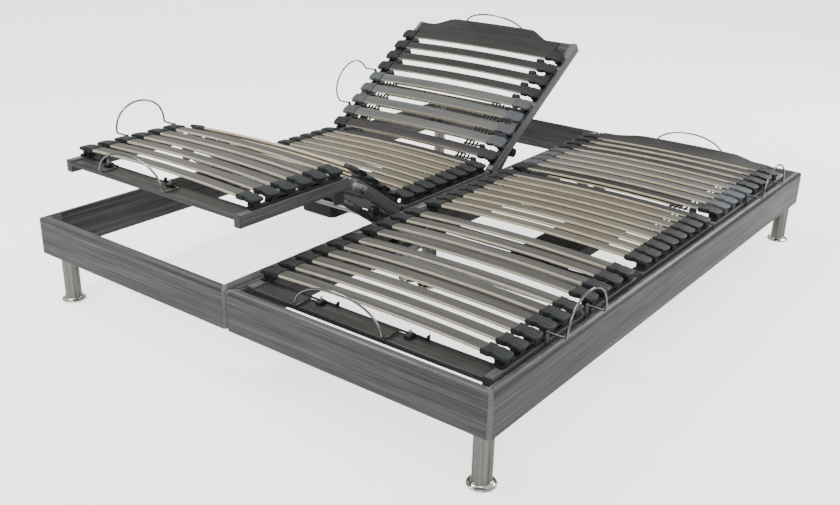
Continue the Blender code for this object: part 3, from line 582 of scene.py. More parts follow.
def halfSections(name, side):
    back, thigh, knee = (joints[f"{name}_{key}_hinge"]["pos_m"] for key in ("back", "thigh", "knee"))
    height = railSizes["height"]
    return {
        "back": Section(f"{name}_back", side, back, restAngle(f"{name}_back_hinge"), 1),
        "seat": Section("base", side, (back[0], 0.0, back[2]), 0.0, 1),
        "thigh": Section(f"{name}_thigh", side, thigh, restAngle(f"{name}_thigh_hinge"), -1, height),
        "calf": Section(f"{name}_calf", side, knee, 0.0, -1, height),
    }


def boxOf(node):
    return [np.array(corner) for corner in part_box(node)]


def scattered(reach):
    # Where in the wood a piece is cut from
    return chance.uniform(0.0, reach, 2)


def pathAcross(stations, along, level):
    return np.stack(np.broadcast_arrays(stations, along, level), axis=1).astype(float)


# Box

boardSizes = {"outerRound": 0.018, "edgeRound": 0.0012, "roundSteps": 12}


def boardPiece(node, middle):
    # The board's section is a box whose top outer edge is a wide quarter circle; its ends are mitred
    low, high = boxOf(node)
    size, centre = high - low, (low + high) / 2
    run = 0 if size[0] > size[1] else 1
    depth = 1 - run
    thick, tall, steps = size[depth], size[2], boardSizes["roundSteps"]
    inward = np.eye(3)[depth] * math.copysign(1.0, middle[depth] - centre[depth])
    small = roundedBox(thick, tall, boardSizes["edgeRound"], 3)
    wide = roundedBox(thick, tall, boardSizes["outerRound"], steps)
    outline = np.concatenate([small[:4], wide[steps + 1:2 * steps + 2], small[8:]]) + (thick / 2, 0.0)
    ends = np.stack([centre - inward * thick / 2] * 2)
    ends[:, run] = low[run], high[run]
    slant = np.stack([inward + np.eye(3)[run], inward - np.eye(3)[run]])
    shape = Shape()
    sweep(shape, outline, ends, slant, zAxis, 0.0, scattered(9.0))
    makePiece(node + "_panel", shape, world, "laminate", [node], 30.0)


cornerSizes = {"face": 0.0095, "bulge": 0.0011, "board": 0.0253, "flange": 0.065, "wall": 0.003,
               "plate": 0.004, "plateGap": 0.0263, "round": 0.005, "foot": 0.0012, "footInset": 0.0006,
               "screwsAlong": (0.034, 0.056), "screwsUp": (0.3, 0.75), "boltMargin": 0.011}


def cornerPiece(node, middle, hasLeg, radius):
    # A strip with a 45 degree face between two boards, its flanges, and the leg's plate
    low, high = boxOf(node)
    ways = np.where(np.array(middle[:2]) > (low + high)[:2] / 2, 1.0, -1.0)
    outer = np.where(ways > 0, low[:2], high[:2])
    face, board, far = cornerSizes["face"], cornerSizes["board"], cornerSizes["flange"]
    wall = board + cornerSizes["wall"]
    share = np.linspace(0.0, 1.0, 9)[:, None]
    front = (np.array([0.0, face]) * (1 - share) + np.array([face, 0.0]) * share
             - cornerSizes["bulge"] * np.sin(share * math.pi) * np.ones(2) / math.sqrt(2))
    back = np.array([(board + face, board), (far, board), (far, wall), (wall, wall), (wall, far),
                     (board, far), (board, board + face)])
    moves = np.concatenate([np.ones(len(front)), np.zeros(len(back))])[:, None]
    # Only the front draws in over the rounded top
    turn = np.linspace(0.0, math.pi / 2 * 0.97, 10)
    drop = high[2] - low[2]
    heights = np.concatenate([[0.0, cornerSizes["foot"]], drop - radius + radius * np.sin(turn)])
    inset = np.concatenate([[cornerSizes["footInset"], 0.0], radius * (1 - np.cos(turn))])
    outline = np.concatenate([front, back])[None] + moves[None] * inset[:, None, None]
    shape, heads = Shape(), Shape()
    sweep(shape, outline, np.array([*outer, low[2]]) + heights[:, None] * zAxis, ways[0] * xAxis,
          ways[1] * yAxis)
    for along in cornerSizes["screwsAlong"]:
        for up in cornerSizes["screwsUp"]:
            for axis in (1, 0):
                spot = np.array([*(outer + ways * along), low[2] + drop * up])
                spot[axis] = outer[axis] + ways[axis] * wall
                roundHead(heads, spot, ways[axis] * np.eye(3)[axis])
    if hasLeg:
        near, reach = outer + ways * cornerSizes["plateGap"], np.where(ways > 0, high[:2], low[:2])
        top = low[2] + cornerSizes["plate"]
        block(shape, np.array([*near, low[2]]), np.array([*reach, top]), 0.0008, 0)
        margin = ways * cornerSizes["boltMargin"]
        for x in (near[0] + margin[0], reach[0] - margin[0]):
            for y in (near[1] + margin[1], reach[1] - margin[1]):
                roundHead(heads, (x, y, top), zAxis, 0.006, 0.0035)
    makePiece(node + "_strip", shape, world, "corner", [node], 40.0)
    makePiece(node + "_screws", heads, world, "zinc")


legSizes = {"tube": 0.025, "ring": 0.037, "ringTop": 0.0105, "rim": 0.0032, "rimFoot": 0.0004,
            "collar": 0.0135}


def legPiece(node):
    # Turned profile: straight tube, small neck, then a dished ring with a rounded rim
    low, high = boxOf(node)
    tube, ring, top, half = (legSizes[key] for key in ("tube", "ring", "ringTop", "rim"))
    height, foot = high[2] - low[2], legSizes["rimFoot"]
    rim = np.linspace(math.pi / 2, -math.pi / 2, 9)
    rimPoints = np.stack([ring - half + half * np.cos(rim), half + foot + half * np.sin(rim)], axis=1)
    dish = np.linspace(0.0, 1.0, 7)
    slope = np.stack([tube + 0.002 + (ring - half - tube - 0.002) * dish,
                      top - (top - 2 * half - foot) * dish ** 0.7], axis=1)
    profile = np.concatenate([
        [(0.0, height), (tube - 0.001, height), (tube, height - 0.001), (tube, height - 0.006),
         (tube - 0.0008, height - 0.0065), (tube - 0.0008, height - 0.0080), (tube, height - 0.0085),
         (tube, 0.0150), (tube - 0.0009, 0.0144), (tube - 0.0009, 0.0130), (tube + 0.0012, 0.0120)],
        slope, rimPoints[1:], [(ring - half - 0.001, 0.0), (0.0, 0.0)]])
    polished = (profile[:-1, 1] < legSizes["collar"]).astype(float)
    shape = Shape()
    turned(shape, profile, (*(low + high)[:2] / 2, low[2]), zAxis, 72, polished)
    makePiece(node + "_turned", shape, world, "nickel", [node], 30.0)


def boxPieces(name, middle):
    for board in ("foot_board", "head_board", "outer_side_board", "inner_side_board"):
        boardPiece(f"{name}_{board}", middle)
    for corner in ("foot_outer", "foot_inner", "head_outer", "head_inner"):
        followsBoards = (name, corner) == ("right", "foot_outer")
        radius = boardSizes["outerRound"] if followsBoards else cornerSizes["round"]
        cornerPiece(f"{name}_corner_{corner}", middle, corner != "foot_inner", radius)
    for leg in ("leg_foot", "leg_head", "leg_head_inner", "leg_mid_inner"):
        legPiece(f"{name}_{leg}")


# Slats and their caps

slatSizes = {"width": 0.038, "thick": 0.008, "rise": 0.024, "bow": 0.010, "half": 0.345,
             "round": 0.0014, "stations": 28, "side": 0.0006}
underSizes = {"width": 0.030, "thick": 0.0065, "half": 0.262, "level": 0.0145}
capSizes = {"tip": 0.394, "mouth": 0.322, "width": 0.048, "scallop": 0.007, "tipRound": 0.005,
            "footIn": 0.355, "footOut": 0.388, "footHalf": 0.0125, "footTop": 0.0225, "footRound": 0.004,
            "bridgeFoot": 0.0085, "bridgeRise": 0.006, "bridgeInset": 0.003}
carrierSizes = {"width": 0.018, "low": 0.0004, "high": 0.0074, "past": 0.022}


def bow(across):
    # A shallow arch: the rise times one minus the square of the share of the half length
    return slatSizes["bow"] * (1.0 - (across / slatSizes["half"]) ** 2)


def bareFaces(outline):
    # 1 on the sides, where the glued layers show, 0.5 underneath and 0 on the coated top
    across, level = ((outline + np.roll(outline, -1, axis=0)) / 2).T
    side = np.abs(across) > np.abs(outline[:, 0]).max() - slatSizes["side"]
    return np.where(side, 1.0, np.where(level < 0, 0.5, 0.0))


def bowedSlat(shape, along, half, level, width, thick):
    stations = np.linspace(-half, half, slatSizes["stations"])
    outline = roundedBox(width, thick, slatSizes["round"], 3)
    sweep(shape, outline, pathAcross(stations, along, level + bow(stations)), yAxis, zAxis,
          bareFaces(outline), scattered(7.0))


def slatShape(shape, along):
    thick = slatSizes["thick"]
    bowedSlat(shape, along, slatSizes["half"], slatSizes["rise"] + thick / 2, slatSizes["width"], thick)


def underSlat(shape, along):
    # A shorter, narrower slat under the main one, following the same bow
    bowedSlat(shape, along, *(underSizes[key] for key in ("half", "level", "width", "thick")))


def capOutline():
    # Half width and half height as 1: a flat underside, full sides and two grooves along the top
    across = np.linspace(0.93, -0.93, 31)
    top = np.stack([across, 1.0 - 0.16 * np.exp(-((np.abs(across) - 0.42) / 0.06) ** 2)
                    - 0.10 * np.abs(across) ** 6], axis=1)
    side = np.array([(-1.0, 0.62), (-1.0, -0.70), (-0.90, -1.0), (0.0, -1.0), (0.90, -1.0), (1.0, -0.70),
                     (1.0, 0.62)])
    return np.concatenate([top, side])


def capShape(shape, along, way):
    # Collar, waist and tab: the width and the top and bottom levels are read off along the cap
    share = np.array([0.0, 0.012, 0.05, 0.18, 0.29, 0.35, 0.41, 0.47, 0.54, 0.68, 0.82, 0.92, 0.975, 1.0])
    half = np.interp(share, [0.0, 0.05, 0.29, 0.41, 0.54, 0.92, 0.975, 1.0],
                     [0.0210, 0.0228, 0.0228, 0.0186, 0.0226, 0.0220, 0.0205, 0.0175])
    levels = [0.0, 0.03, 0.45, 0.95, 1.0]
    top = np.interp(share, levels, [0.0356, 0.0368, 0.0350, 0.0296, 0.0283])
    bottom = np.interp(share, levels, [0.0218, 0.0206, 0.0200, 0.0208, 0.0220])
    share, half, top, bottom = (part[:, None] for part in (share, half, top, bottom))
    reach = capSizes["tip"] - capSizes["mouth"]
    outline = capOutline()
    across, level = outline[None, :, 0], outline[None, :, 1]
    x = (capSizes["mouth"] + reach * share
         + capSizes["scallop"] * (1.0 - across ** 2) * (1.0 - share) ** 5
         - capSizes["tipRound"] * across ** 4 * share ** 8)
    z = (top + bottom) / 2 + (top - bottom) / 2 * level
    points = np.stack([way * x, along + half * across, z], axis=-1)
    points = np.concatenate([points, points[:, :1]], axis=1)
    surface = surfaceGrid(share[:, 0] * reach, np.linspace(0.0, 0.12, points.shape[1]))
    shape.grid(points, surface)
    for end in (0, -1):
        shape.lid(points[end, :-1], surface[end, :-1])


def capFeet(shape, rows, way):
    # A waisted foot under each cap, and a bridge from every second row to the next
    inner, outer = capSizes["footIn"], capSizes["footOut"]
    levels = np.array([0.0004, 0.0012, 0.006, 0.014, capSizes["footTop"]])
    spread = np.array([1.04, 1.10, 0.92, 0.86, 1.10])
    outline = roundedBox(outer - inner, 2 * capSizes["footHalf"], capSizes["footRound"], 4)
    rings = outline[None] * np.stack([np.ones(5), spread], axis=1)[:, None]
    for row in rows:
        sweep(shape, rings, pathAcross(way * (inner + outer) / 2, row, levels), xAxis, yAxis)
    for first, last in zip(rows[1:-1:2], rows[2::2]):
        arch = np.linspace(0.0, 1.0, 13)
        under = capSizes["bridgeFoot"] + capSizes["bridgeRise"] * np.sin(arch * math.pi)
        low = np.stack([first + (last - first) * arch, under], axis=1)
        high = np.array([(last, 0.0205), ((first + last) / 2, 0.0190), (first, 0.0205)])
        plate(shape, np.concatenate([low, high]), way, inner + capSizes["bridgeInset"],
              outer - capSizes["bridgeInset"])


def capsAndFeet(shape, rows):
    for way in (-1, 1):
        for row in rows:
            capShape(shape, row, way)
        capFeet(shape, rows, way)


def carriers(shape, low, high):
    middle, half = (railInner + railSizes["outer"]) / 2, carrierSizes["width"] / 2
    for way in (-1, 1):
        block(shape, (way * middle - half, low - carrierSizes["past"], carrierSizes["low"]),
              (way * middle + half, high + carrierSizes["past"], carrierSizes["high"]), 0.0012)


sliderSizes = {"comb": (0.300, 0.323, 0.011), "knob": (0.294, 0.324, 0.016), "at": 0.29, "strip": 0.228,
               "bars": (0.236, 0.252, 0.268, 0.284), "barWidth": 0.0055, "lip": 0.006}


def sliders(dark, light, along, kind):
    # Firmness grips in the gap beside a slat: a comb and a grip, or one large knob
    level = slatSizes["rise"] + bow(sliderSizes["at"])
    inner, outer, depth = sliderSizes[kind]
    lip = sliderSizes["lip"]
    for way in (-1, 1):
        pad(dark, way, (inner, outer), along, depth / 2, (level - 0.012, level + 0.006), 0.0035, 0)
        pad(dark, way, (inner + lip, outer - lip), along, 0.012, (level - 0.009, level - 0.002), 0.002, 0)
        if kind == "comb":
            pad(light, way, (sliderSizes["strip"], inner), along, 0.0035, (level - 0.0055, level - 0.002),
                0.001, 0)
            for x in sliderSizes["bars"]:
                pad(dark, way, (x, x + sliderSizes["barWidth"]), along, 0.0132,
                    (level - 0.004, level + 0.003), 0.0012)


def bankPieces(section, node, rows, slatKinds, capKinds, sliderKinds):
    # rows, and what each row's slat, caps and sliders are made of
    replaced = [node]
    slats = {kind: Shape() for kind in sorted(set(slatKinds))}
    for row, kind in zip(rows, slatKinds):
        slatShape(slats[kind], row)
    for kind, shape in slats.items():
        makePiece(f"{node}_{kind}_wood", shape, section, kind,
                  replaced, 30.0)
        replaced = []
    for material in sorted(set(capKinds)):
        caps = Shape()
        capsAndFeet(caps, [row for row, kind in zip(rows, capKinds) if kind == material])
        makePiece(f"{node}_{material}_caps", caps, section, material, (), 34.0)
    strip, light, under = Shape(), Shape(), Shape()
    carriers(strip, rows[0], rows[-1])
    for row, kind in zip(rows, sliderKinds):
        if kind:
            sliders(strip, light, row - (rows[1] - rows[0]) / 2, kind)
        if kind == "comb":
            underSlat(under, row)
    makePiece(node + "_carriers", strip, section, "blackRubber")
    if light.points:
        makePiece(node + "_slider_strips", light, section, "greyRubber")
        makePiece(node + "_under_slats", under, section, "dark", (), 30.0)


def bankRows(section, node, count):
    # Rows stand evenly between the CAD bank's first and last cap
    low, high = section.extent(node)
    return np.linspace(low[1] + capSizes["width"] / 2, high[1] - capSizes["width"] / 2, count)


panelSizes = {"shoulder": 0.092, "crown": 0.138, "half": 0.340, "start": 0.86, "span": 0.32,
              "stations": 90, "round": 0.0022, "bowShare": 0.7, "knobsBefore": 0.034}


def headPanelPieces(section, node):
    # Width along the bed: the shoulder plus a smooth step (3t squared less 2t cubed) up to the crown
    half, shoulder, crown = (panelSizes[key] for key in ("half", "shoulder", "crown"))
    across = np.linspace(-half, half, panelSizes["stations"])
    share = ((panelSizes["start"] * half - np.abs(across)) / (panelSizes["span"] * half)).clip(0, 1)
    width = shoulder + (crown - shoulder) * share ** 2 * (3 - 2 * share)
    thick = slatSizes["thick"]
    start = section.extent(node)[1][1] - crown
    soft = roundedBox(thick * 2, thick, panelSizes["round"], 4)
    way = np.sign(soft[:, 0])
    # Both edges keep their rounding while they move apart with the width
    rings = np.stack([soft[:, 0] + way * (width[:, None] / 2 - thick),
                      np.broadcast_to(soft[:, 1], (len(across), len(soft)))], axis=2)
    level = slatSizes["rise"] + thick / 2 + bow(across) * panelSizes["bowShare"]
    shape, caps = Shape(), Shape()
    sweep(shape, rings, pathAcross(across, start + width / 2, level), yAxis, zAxis, bareFaces(soft),
          scattered(7.0), 0.0)
    makePiece(node + "_wood", shape, section, "dark", [node], 32.0)
    row = start + slatSizes["width"] / 2
    capsAndFeet(caps, [row])
    carriers(caps, row, row)
    sliders(caps, caps, row - panelSizes["knobsBefore"], "knob")
    makePiece(node + "_caps", caps, section, "blackRubber", (), 34.0)


# Deck frames

def railPair(shape, caps, start, end):
    # Two rails with rounded edges, and a square cap on each end
    height, outer, cap = railSizes["height"], railSizes["outer"], railSizes["endCap"]
    outline = roundedBox(railSizes["width"], height, railSizes["round"], 4)
    for way in (-1, 1):
        middle = way * (railInner + outer) / 2
        centres = [(middle, start + cap, -height / 2), (middle, end - cap, -height / 2)]
        sweep(shape, outline, centres, xAxis, zAxis, 0.0, scattered(5.0))
        for first in (start, end - cap):
            pad(caps, way, (railInner - railSizes["capProud"], outer), first + cap / 2, cap / 2,
                (-height, 0.0), railSizes["capRound"])


plankSizes = {"width": 0.070, "thick": 0.014, "drop": 0.003, "channel": 0.0022, "round": 0.0015}
crossReach = railInner - 0.0003


def endPlank(shape, end):
    # A plank between the rails whose top is a shallow channel: depth times 1 - (share of half width)^8
    half, thick, radius = plankSizes["width"] / 2, plankSizes["thick"] / 2, plankSizes["round"]
    share = np.linspace(1.0, -1.0, 33)
    top = np.stack([share * (half - radius), thick - plankSizes["channel"] * (1.0 - share ** 8)], axis=1)
    turn = np.linspace(math.pi / 2, 3 * math.pi / 2, 7)[1:4]
    nose = np.stack([-half + radius + radius * np.cos(turn), thick - radius + radius * np.sin(turn)],
                    axis=1)
    outline = np.concatenate([top, nose, [(-half, -thick), (half, -thick), (half, thick - radius)]])
    stations = np.linspace(-crossReach, crossReach, 3)
    sweep(shape, outline, pathAcross(stations, end - half, -plankSizes["drop"] - thick), yAxis, zAxis,
          0.0, scattered(5.0))


hingeSizes = {"thick": 0.0014, "width": 0.026, "long": 0.052, "rivet": 0.0042, "rivetRise": 0.0014,
              "farLevel": -0.019, "rivetsAt": (0.45, 1.0)}
hingeStraps = {"thigh": {"end": 0.280, "way": -1, "outside": True, "level": -0.026},
               "calf": {"end": 0.012, "way": 1, "outside": False, "level": -0.026},
               "back": {"end": 0.016, "way": 1, "outside": False, "level": -0.014}}


def hingePlates(section, name, end, way, outside, level):
    # A steel strap with round ends on each rail's face beside its hinge, with two rivets
    thick, far, reach = hingeSizes["thick"], hingeSizes["farLevel"], way * hingeSizes["long"]
    face = railSizes["outer"] if outside else railInner - thick
    seen, out = (face + thick, 1) if outside else (face, -1)
    shape = Shape()
    for side in (-1, 1):
        plate(shape, roundBar((end, level), (end + reach, far), hingeSizes["width"]), side, face,
              face + thick, 0.0003)
        for share in hingeSizes["rivetsAt"]:
            roundHead(shape, (side * seen, end + reach * share, level + (far - level) * share),
                      side * out * xAxis, hingeSizes["rivet"], hingeSizes["rivetRise"])
    makePiece(name, shape, section, "zinc")


bracketSizes = {"inner": 0.3425, "thick": 0.008, "tieOuter": 0.3648, "tieLow": -0.042, "tieHigh": -0.006,
                "chamfer": 0.008, "tieLong": 0.024, "top": -0.044, "pin": 0.007, "pinRise": 0.0035,
                "pinDrop": 0.045}


def tie(shape, way, start, end):
    # What joins a bracket to its rail
    pad(shape, way, (bracketSizes["inner"], bracketSizes["tieOuter"]), (start + end) / 2, (end - start) / 2,
        (bracketSizes["tieLow"], bracketSizes["tieHigh"]), 0.001)


def bracket(shape, way, outline):
    inner = bracketSizes["inner"]
    plate(shape, cutOutline(np.array(outline)), way, inner, inner + bracketSizes["thick"])


def kneeBrackets(shape, section, node, start):
    near, foot = section.extent(node)[0][1:]
    cut, top = bracketSizes["chamfer"], bracketSizes["top"]
    far = start + bracketSizes["tieLong"]
    for way in (-1, 1):
        bracket(shape, way, [(near, top), (near, foot + cut), (near + cut, foot), (far - cut, foot),
                             (far, foot + cut), (far, top)])
        tie(shape, way, start, far)
        roundHead(shape, (way * bracketSizes["inner"], 0.0, -railSizes["height"] - bracketSizes["pinDrop"]),
                  -way * xAxis, bracketSizes["pin"], bracketSizes["pinRise"])


frameSizes = {"back": {"start": 0.003, "bar": 0.3065, "barLow": -0.034, "foil": "foilPale"},
              "thigh": {"start": 0.016, "bar": 0.146, "barLow": -0.024, "foil": "foil"},
              "calf": {"start": 0.010, "bar": 0.0525, "barLow": -0.034, "foil": "foil"}}
barSizes = {"top": -0.004, "depth": 0.025, "round": 0.002}


def railPieces(section, node, start, end, foilName, bar=None):
    rails, caps = Shape(), Shape()
    railPair(rails, caps, start, end)
    if bar:
        along, low = bar
        outline = roundedBox(barSizes["depth"], barSizes["top"] - low, barSizes["round"], 3)
        centres = pathAcross([-crossReach, crossReach], along, (low + barSizes["top"]) / 2)
        sweep(rails, outline, centres, yAxis, zAxis, 0.0, scattered(5.0))
    makePiece(node + "_rails", rails, section, foilName, [node], 30.0)
    makePiece(node + "_end_caps", caps, section, "endCap")


def framePieces(sections, name):
    for key, sizes in frameSizes.items():
        section, node, start = sections[key], f"{name}_{key}_frame", sizes["start"]
        end = section.extent(node)[1][1]
        railPieces(section, node, start, end, sizes["foil"], (sizes["bar"], sizes["barLow"]))
        if key != "thigh":
            planks = Shape()
            endPlank(planks, end)
            makePiece(node + "_plank", planks, section, "plank", (), 30.0)
        if key == "calf":
            brackets = Shape()
            kneeBrackets(brackets, section, node, start)
            makePiece(node + "_brackets", brackets, section, "steel")
    for key, strap in hingeStraps.items():
        hingePlates(sections[key], f"{name}_{key}_hinge_plates", **strap)


seatSizes = {"railEnds": (-0.248, 0.267), "tubeHeight": 0.024, "tubeWidth": 0.030, "tubeRound": 0.003,
             "tubeAt": 0.200, "tubeDrop": 0.0002, "play": 0.0005, "flange": 0.003, "flangeLevel": -0.056,
             "flangeTall": 0.060, "flangePast": 0.010, "boltsPast": 0.012, "bracketTop": -0.0385,
             "belowLift": 0.026, "pastLift": 0.024, "tieLong": 0.050, "footNear": -0.280,
             "nearCut": 0.020, "farCut": 0.016, "webHalf": 0.025, "webReach": (0.001, 0.055),
             "webFoot": 0.004, "webWall": 0.005, "webTop": 0.006}
bushProfile = [(0.0, 0.0), (0.017, 0.0), (0.017, 0.0024), (0.0135, 0.0030), (0.0, 0.0030)]


def crossTube(steel, heads, along, reach, top):
    # A tube from side board to side board, with a bolted flange on each end
    width, height, flange = seatSizes["tubeWidth"], seatSizes["tubeHeight"], seatSizes["flange"]
    level = seatSizes["flangeLevel"]
    sweep(steel, roundedBox(width, height, seatSizes["tubeRound"], 4),
          pathAcross([-reach, reach], along, top - height / 2), yAxis, zAxis)
    wing, bolt = width / 2 + seatSizes["flangePast"], width / 2 + seatSizes["boltsPast"]
    ends = roundBar((along - wing, level), (along + wing, level), seatSizes["flangeTall"])
    for way in (-1, 1):
        plate(steel, ends, way, reach - flange, reach, 0.0004)
        for spot in (-bolt, bolt):
            roundHead(heads, (way * (reach - flange), along + spot, level), -way * xAxis, 0.006, 0.003)


def hangers(steel, heads, lift, railEnd, way):
    # Plates that hang from the rails and carry a lift tube in their bushes
    base, top = lift[1] - seatSizes["belowLift"], seatSizes["bracketTop"]
    start, end = sorted((railEnd, railEnd - way * seatSizes["tieLong"]))
    near, far = start if way > 0 else seatSizes["footNear"], lift[0] + seatSizes["pastLift"]
    wide, small = seatSizes["nearCut"], seatSizes["farCut"]
    for side in (-1, 1):
        bracket(steel, side, [(near, top), (near, base + wide), (near + wide, base), (far - small, base),
                              (far, base + small), (far, top)])
        tie(steel, side, start, end)
        outer = bracketSizes["inner"] + bracketSizes["thick"]
        turned(heads, bushProfile, (side * outer, *lift), side * xAxis, 32)


def seatPieces(section, name, lifts):
    node = f"{name}_seat_frame"
    low, high = section.extent(node)
    railPieces(section, node, *seatSizes["railEnds"], "foil")
    steel, heads = Shape(), Shape()
    reach, top = high[0] - seatSizes["play"], -railSizes["height"] - seatSizes["tubeDrop"]
    for along in (-seatSizes["tubeAt"], seatSizes["tubeAt"]):
        crossTube(steel, heads, along, reach, top)
    footEnd, headEnd = seatSizes["railEnds"]
    for lift, railEnd, way in zip(lifts, (headEnd, footEnd), (1, -1)):
        hangers(steel, heads, lift, railEnd, way)
    # The web that stands on the middle leg
    foot, middle, half = low[2], -seatSizes["tubeAt"], seatSizes["webHalf"]
    near, far = (play - reach for play in seatSizes["webReach"])
    pad(steel, 1, (near, far), middle, half, (foot, foot + seatSizes["webFoot"]), 0.001)
    pad(steel, 1, (near, near + seatSizes["webWall"]), middle, half, (foot, top - seatSizes["webTop"]),
        0.001, 2)
    makePiece(node + "_steel", steel, section, "steel")
    makePiece(node + "_fasteners", heads, section, "zinc")


# Lifting gear

gearSizes = {"tube": 0.0125, "tubeEdge": 0.001, "armThick": 0.006, "armAt": 0.355, "armWidth": 0.020,
             "armRest": {"back": 9.9, "leg": 7.9}, "hub": (0.016, 0.003), "pin": (0.007, 0.003),
             "crank": 0.030, "crankLean": 34.0, "crankThick": 0.010, "crankShare": 0.72, "crankWidth": 0.017}
rollerSizes = {"radius": 0.018, "width": 0.024, "edge": 0.0025, "soft": 0.0007, "play": 0.0006,
               "halfSide": 15}


def rollerProfile():
    width, radius = rollerSizes["width"] - 0.002, rollerSizes["radius"] - rollerSizes["play"]
    edge, soft = rollerSizes["edge"], rollerSizes["soft"]
    return [(0.0, 0.0), (radius - edge, 0.0), (radius - soft, soft), (radius, edge), (radius, width - edge),
            (radius - soft, width - soft), (radius - edge, width), (0.0, width)]


def liftPieces(name, side, which, towards, hingeAngle):
    # The section's axes start on the tube and run along its arm
    joint, node = f"{name}_{which}_lift", f"{name}_{which}_lift_tube"
    armRest, start = gearSizes["armRest"][which], joints[joint]["pos_m"]
    section = Section(joint, side, start, armRest + hingeAngle * ratios[joint], towards)
    # The CAD roller has twelve sides and is measured to a flat one: radius times the cosine of 15 degrees
    reach = rollerSizes["radius"] * math.cos(math.radians(rollerSizes["halfSide"]))
    arm = section.extent(node)[1][1] - reach
    inner = gearSizes["armAt"] - gearSizes["armThick"] / 2
    outer = inner + gearSizes["armThick"]
    radius, edge = gearSizes["tube"], gearSizes["tubeEdge"]
    steel, rollers = Shape(), Shape()
    tube = [(0.0, -outer), (radius - edge, -outer), (radius, -outer + edge), (radius, outer - edge),
            (radius - edge, outer), (0.0, outer)]
    turned(steel, tube, (0.0, 0.0, 0.0), xAxis, 40)
    for way in (-1, 1):
        plate(steel, roundBar((0.0, 0.0), (arm, 0.0), gearSizes["armWidth"]), way, inner, outer)
        turned(rollers, rollerProfile(), (way * outer, arm, 0.0), way * xAxis, 40)
        roundHead(steel, (way * inner, arm, 0.0), -way * xAxis, *gearSizes["pin"])
        disc(steel, *gearSizes["hub"], (way * inner, 0.0, 0.0), -way * xAxis, 32)
    lean = math.radians(gearSizes["crankLean"] + armRest)
    long, half = gearSizes["crank"] * gearSizes["crankShare"], gearSizes["crankThick"] / 2
    plate(steel, roundBar((0.0, 0.0), (-long * math.sin(lean), -long * math.cos(lean)),
                          gearSizes["crankWidth"]), 1, -half, half)
    makePiece(node + "_arms", steel, section, "steel", [node])
    makePiece(node + "_rollers", rollers, section, "housing")
    return start[1:]


linkSizes = {"at": 0.339, "width": 0.024, "thick": 0.006, "inset": 0.004, "past": 0.006, "rod": 0.008,
             "pins": 7, "pinsIn": 0.008, "pin": (0.0048, 0.0016)}


def linkPieces(name, side, angle):
    section = Section(f"{name}_link", side, joints[f"{name}_link_hinge"]["pos_m"], angle, -1)
    node = f"{name}_calf_link"
    low, high = section.extent(node)
    start, end = low[1] + linkSizes["inset"], high[1] - linkSizes["inset"]
    inner = linkSizes["at"] - linkSizes["thick"] / 2
    width, pinsIn = linkSizes["width"], linkSizes["pinsIn"]
    centre = width / 2 - linkSizes["past"]
    bars, pins = Shape(), Shape()
    for way in (-1, 1):
        plate(bars, roundBar((start + centre, 0.0), (end - centre, 0.0), width), way, inner,
              inner + linkSizes["thick"])
        for spot in np.linspace(start + pinsIn, end - pinsIn, linkSizes["pins"]):
            roundHead(pins, (way * inner, spot, 0.0), -way * xAxis, *linkSizes["pin"])
    disc(bars, linkSizes["rod"], 2 * inner, (-inner, (low[1] + high[1]) / 2, 0.0), xAxis, 28)
    makePiece(node + "_bars", bars, section, "zinc", [node])
    makePiece(node + "_pins", pins, section, "chrome")


driveSizes = {"round": 0.012, "stations": 61, "tall": 0.82, "endDrawn": 0.16, "endOver": 0.035,
              "waist": 0.10, "waistFrom": 0.33, "waistSteep": 90.0, "ribs": 14, "rib": 0.0022,
              "ribsFrom": 0.30, "ribsOver": 0.40, "ribReach": 0.34, "ribLevels": (-0.002, 0.0018),
              "ringAt": 0.33, "seamEnd": 0.06, "seamReach": (0.45, 0.4925), "seam": 0.001}
ringProfile = [(0.0133, -0.010), (0.0195, -0.010), (0.0205, -0.008), (0.0205, 0.008), (0.0195, 0.010),
               (0.0133, 0.010), (0.0133, -0.010)]


def drivePieces(name, section, lifts):
    # A rounded outline carried along the bed, full in the middle, stepped in over each crank box
    node = f"{name}_drive_housing"
    low, high = section.extent(node)
    centre, (wide, long, tall) = (low + high) / 2, high - low
    level = centre[2] - tall * (1 - driveSizes["tall"]) / 2
    share = np.linspace(0.0, 1.0, driveSizes["stations"])
    toEnd = np.minimum(share, 1 - share) * 2
    full = 1.0 - driveSizes["endDrawn"] * np.exp(-(toEnd / driveSizes["endOver"]) ** 2)
    past = np.abs(share - 0.5) - driveSizes["waistFrom"]
    waist = 1.0 - driveSizes["waist"] / (1.0 + np.exp(-driveSizes["waistSteep"] * past))
    outline = roundedBox(wide, tall * driveSizes["tall"], driveSizes["round"], 6)
    shell = Shape()
    sweep(shell, outline[None] * np.stack([full * waist, full], axis=1)[:, None],
          pathAcross(0.0, low[1] + long * share, level), xAxis, zAxis)
    top = level + tall * driveSizes["tall"] / 2
    ribReach, ribLevels = wide * driveSizes["ribReach"], [top + part for part in driveSizes["ribLevels"]]
    for rib in np.linspace(0.0, 1.0, driveSizes["ribs"]):
        along = low[1] + long * (driveSizes["ribsFrom"] + driveSizes["ribsOver"] * rib)
        pad(shell, 1, (-ribReach, ribReach), along, driveSizes["rib"] / 2, ribLevels, 0.0008, 0)
    for lift in lifts:
        for way in (-1, 1):
            turned(shell, ringProfile, (way * wide * driveSizes["ringAt"], *lift), xAxis, 36)
    seamLevels = (level - driveSizes["seam"], level + driveSizes["seam"])
    for way in (-1, 1):
        pad(shell, way, [wide * part for part in driveSizes["seamReach"]], centre[1],
            long * (0.5 - driveSizes["seamEnd"]), seamLevels, 0.0005)
    makePiece(node + "_shell", shell, section, "housing", [node])


# Wire loops

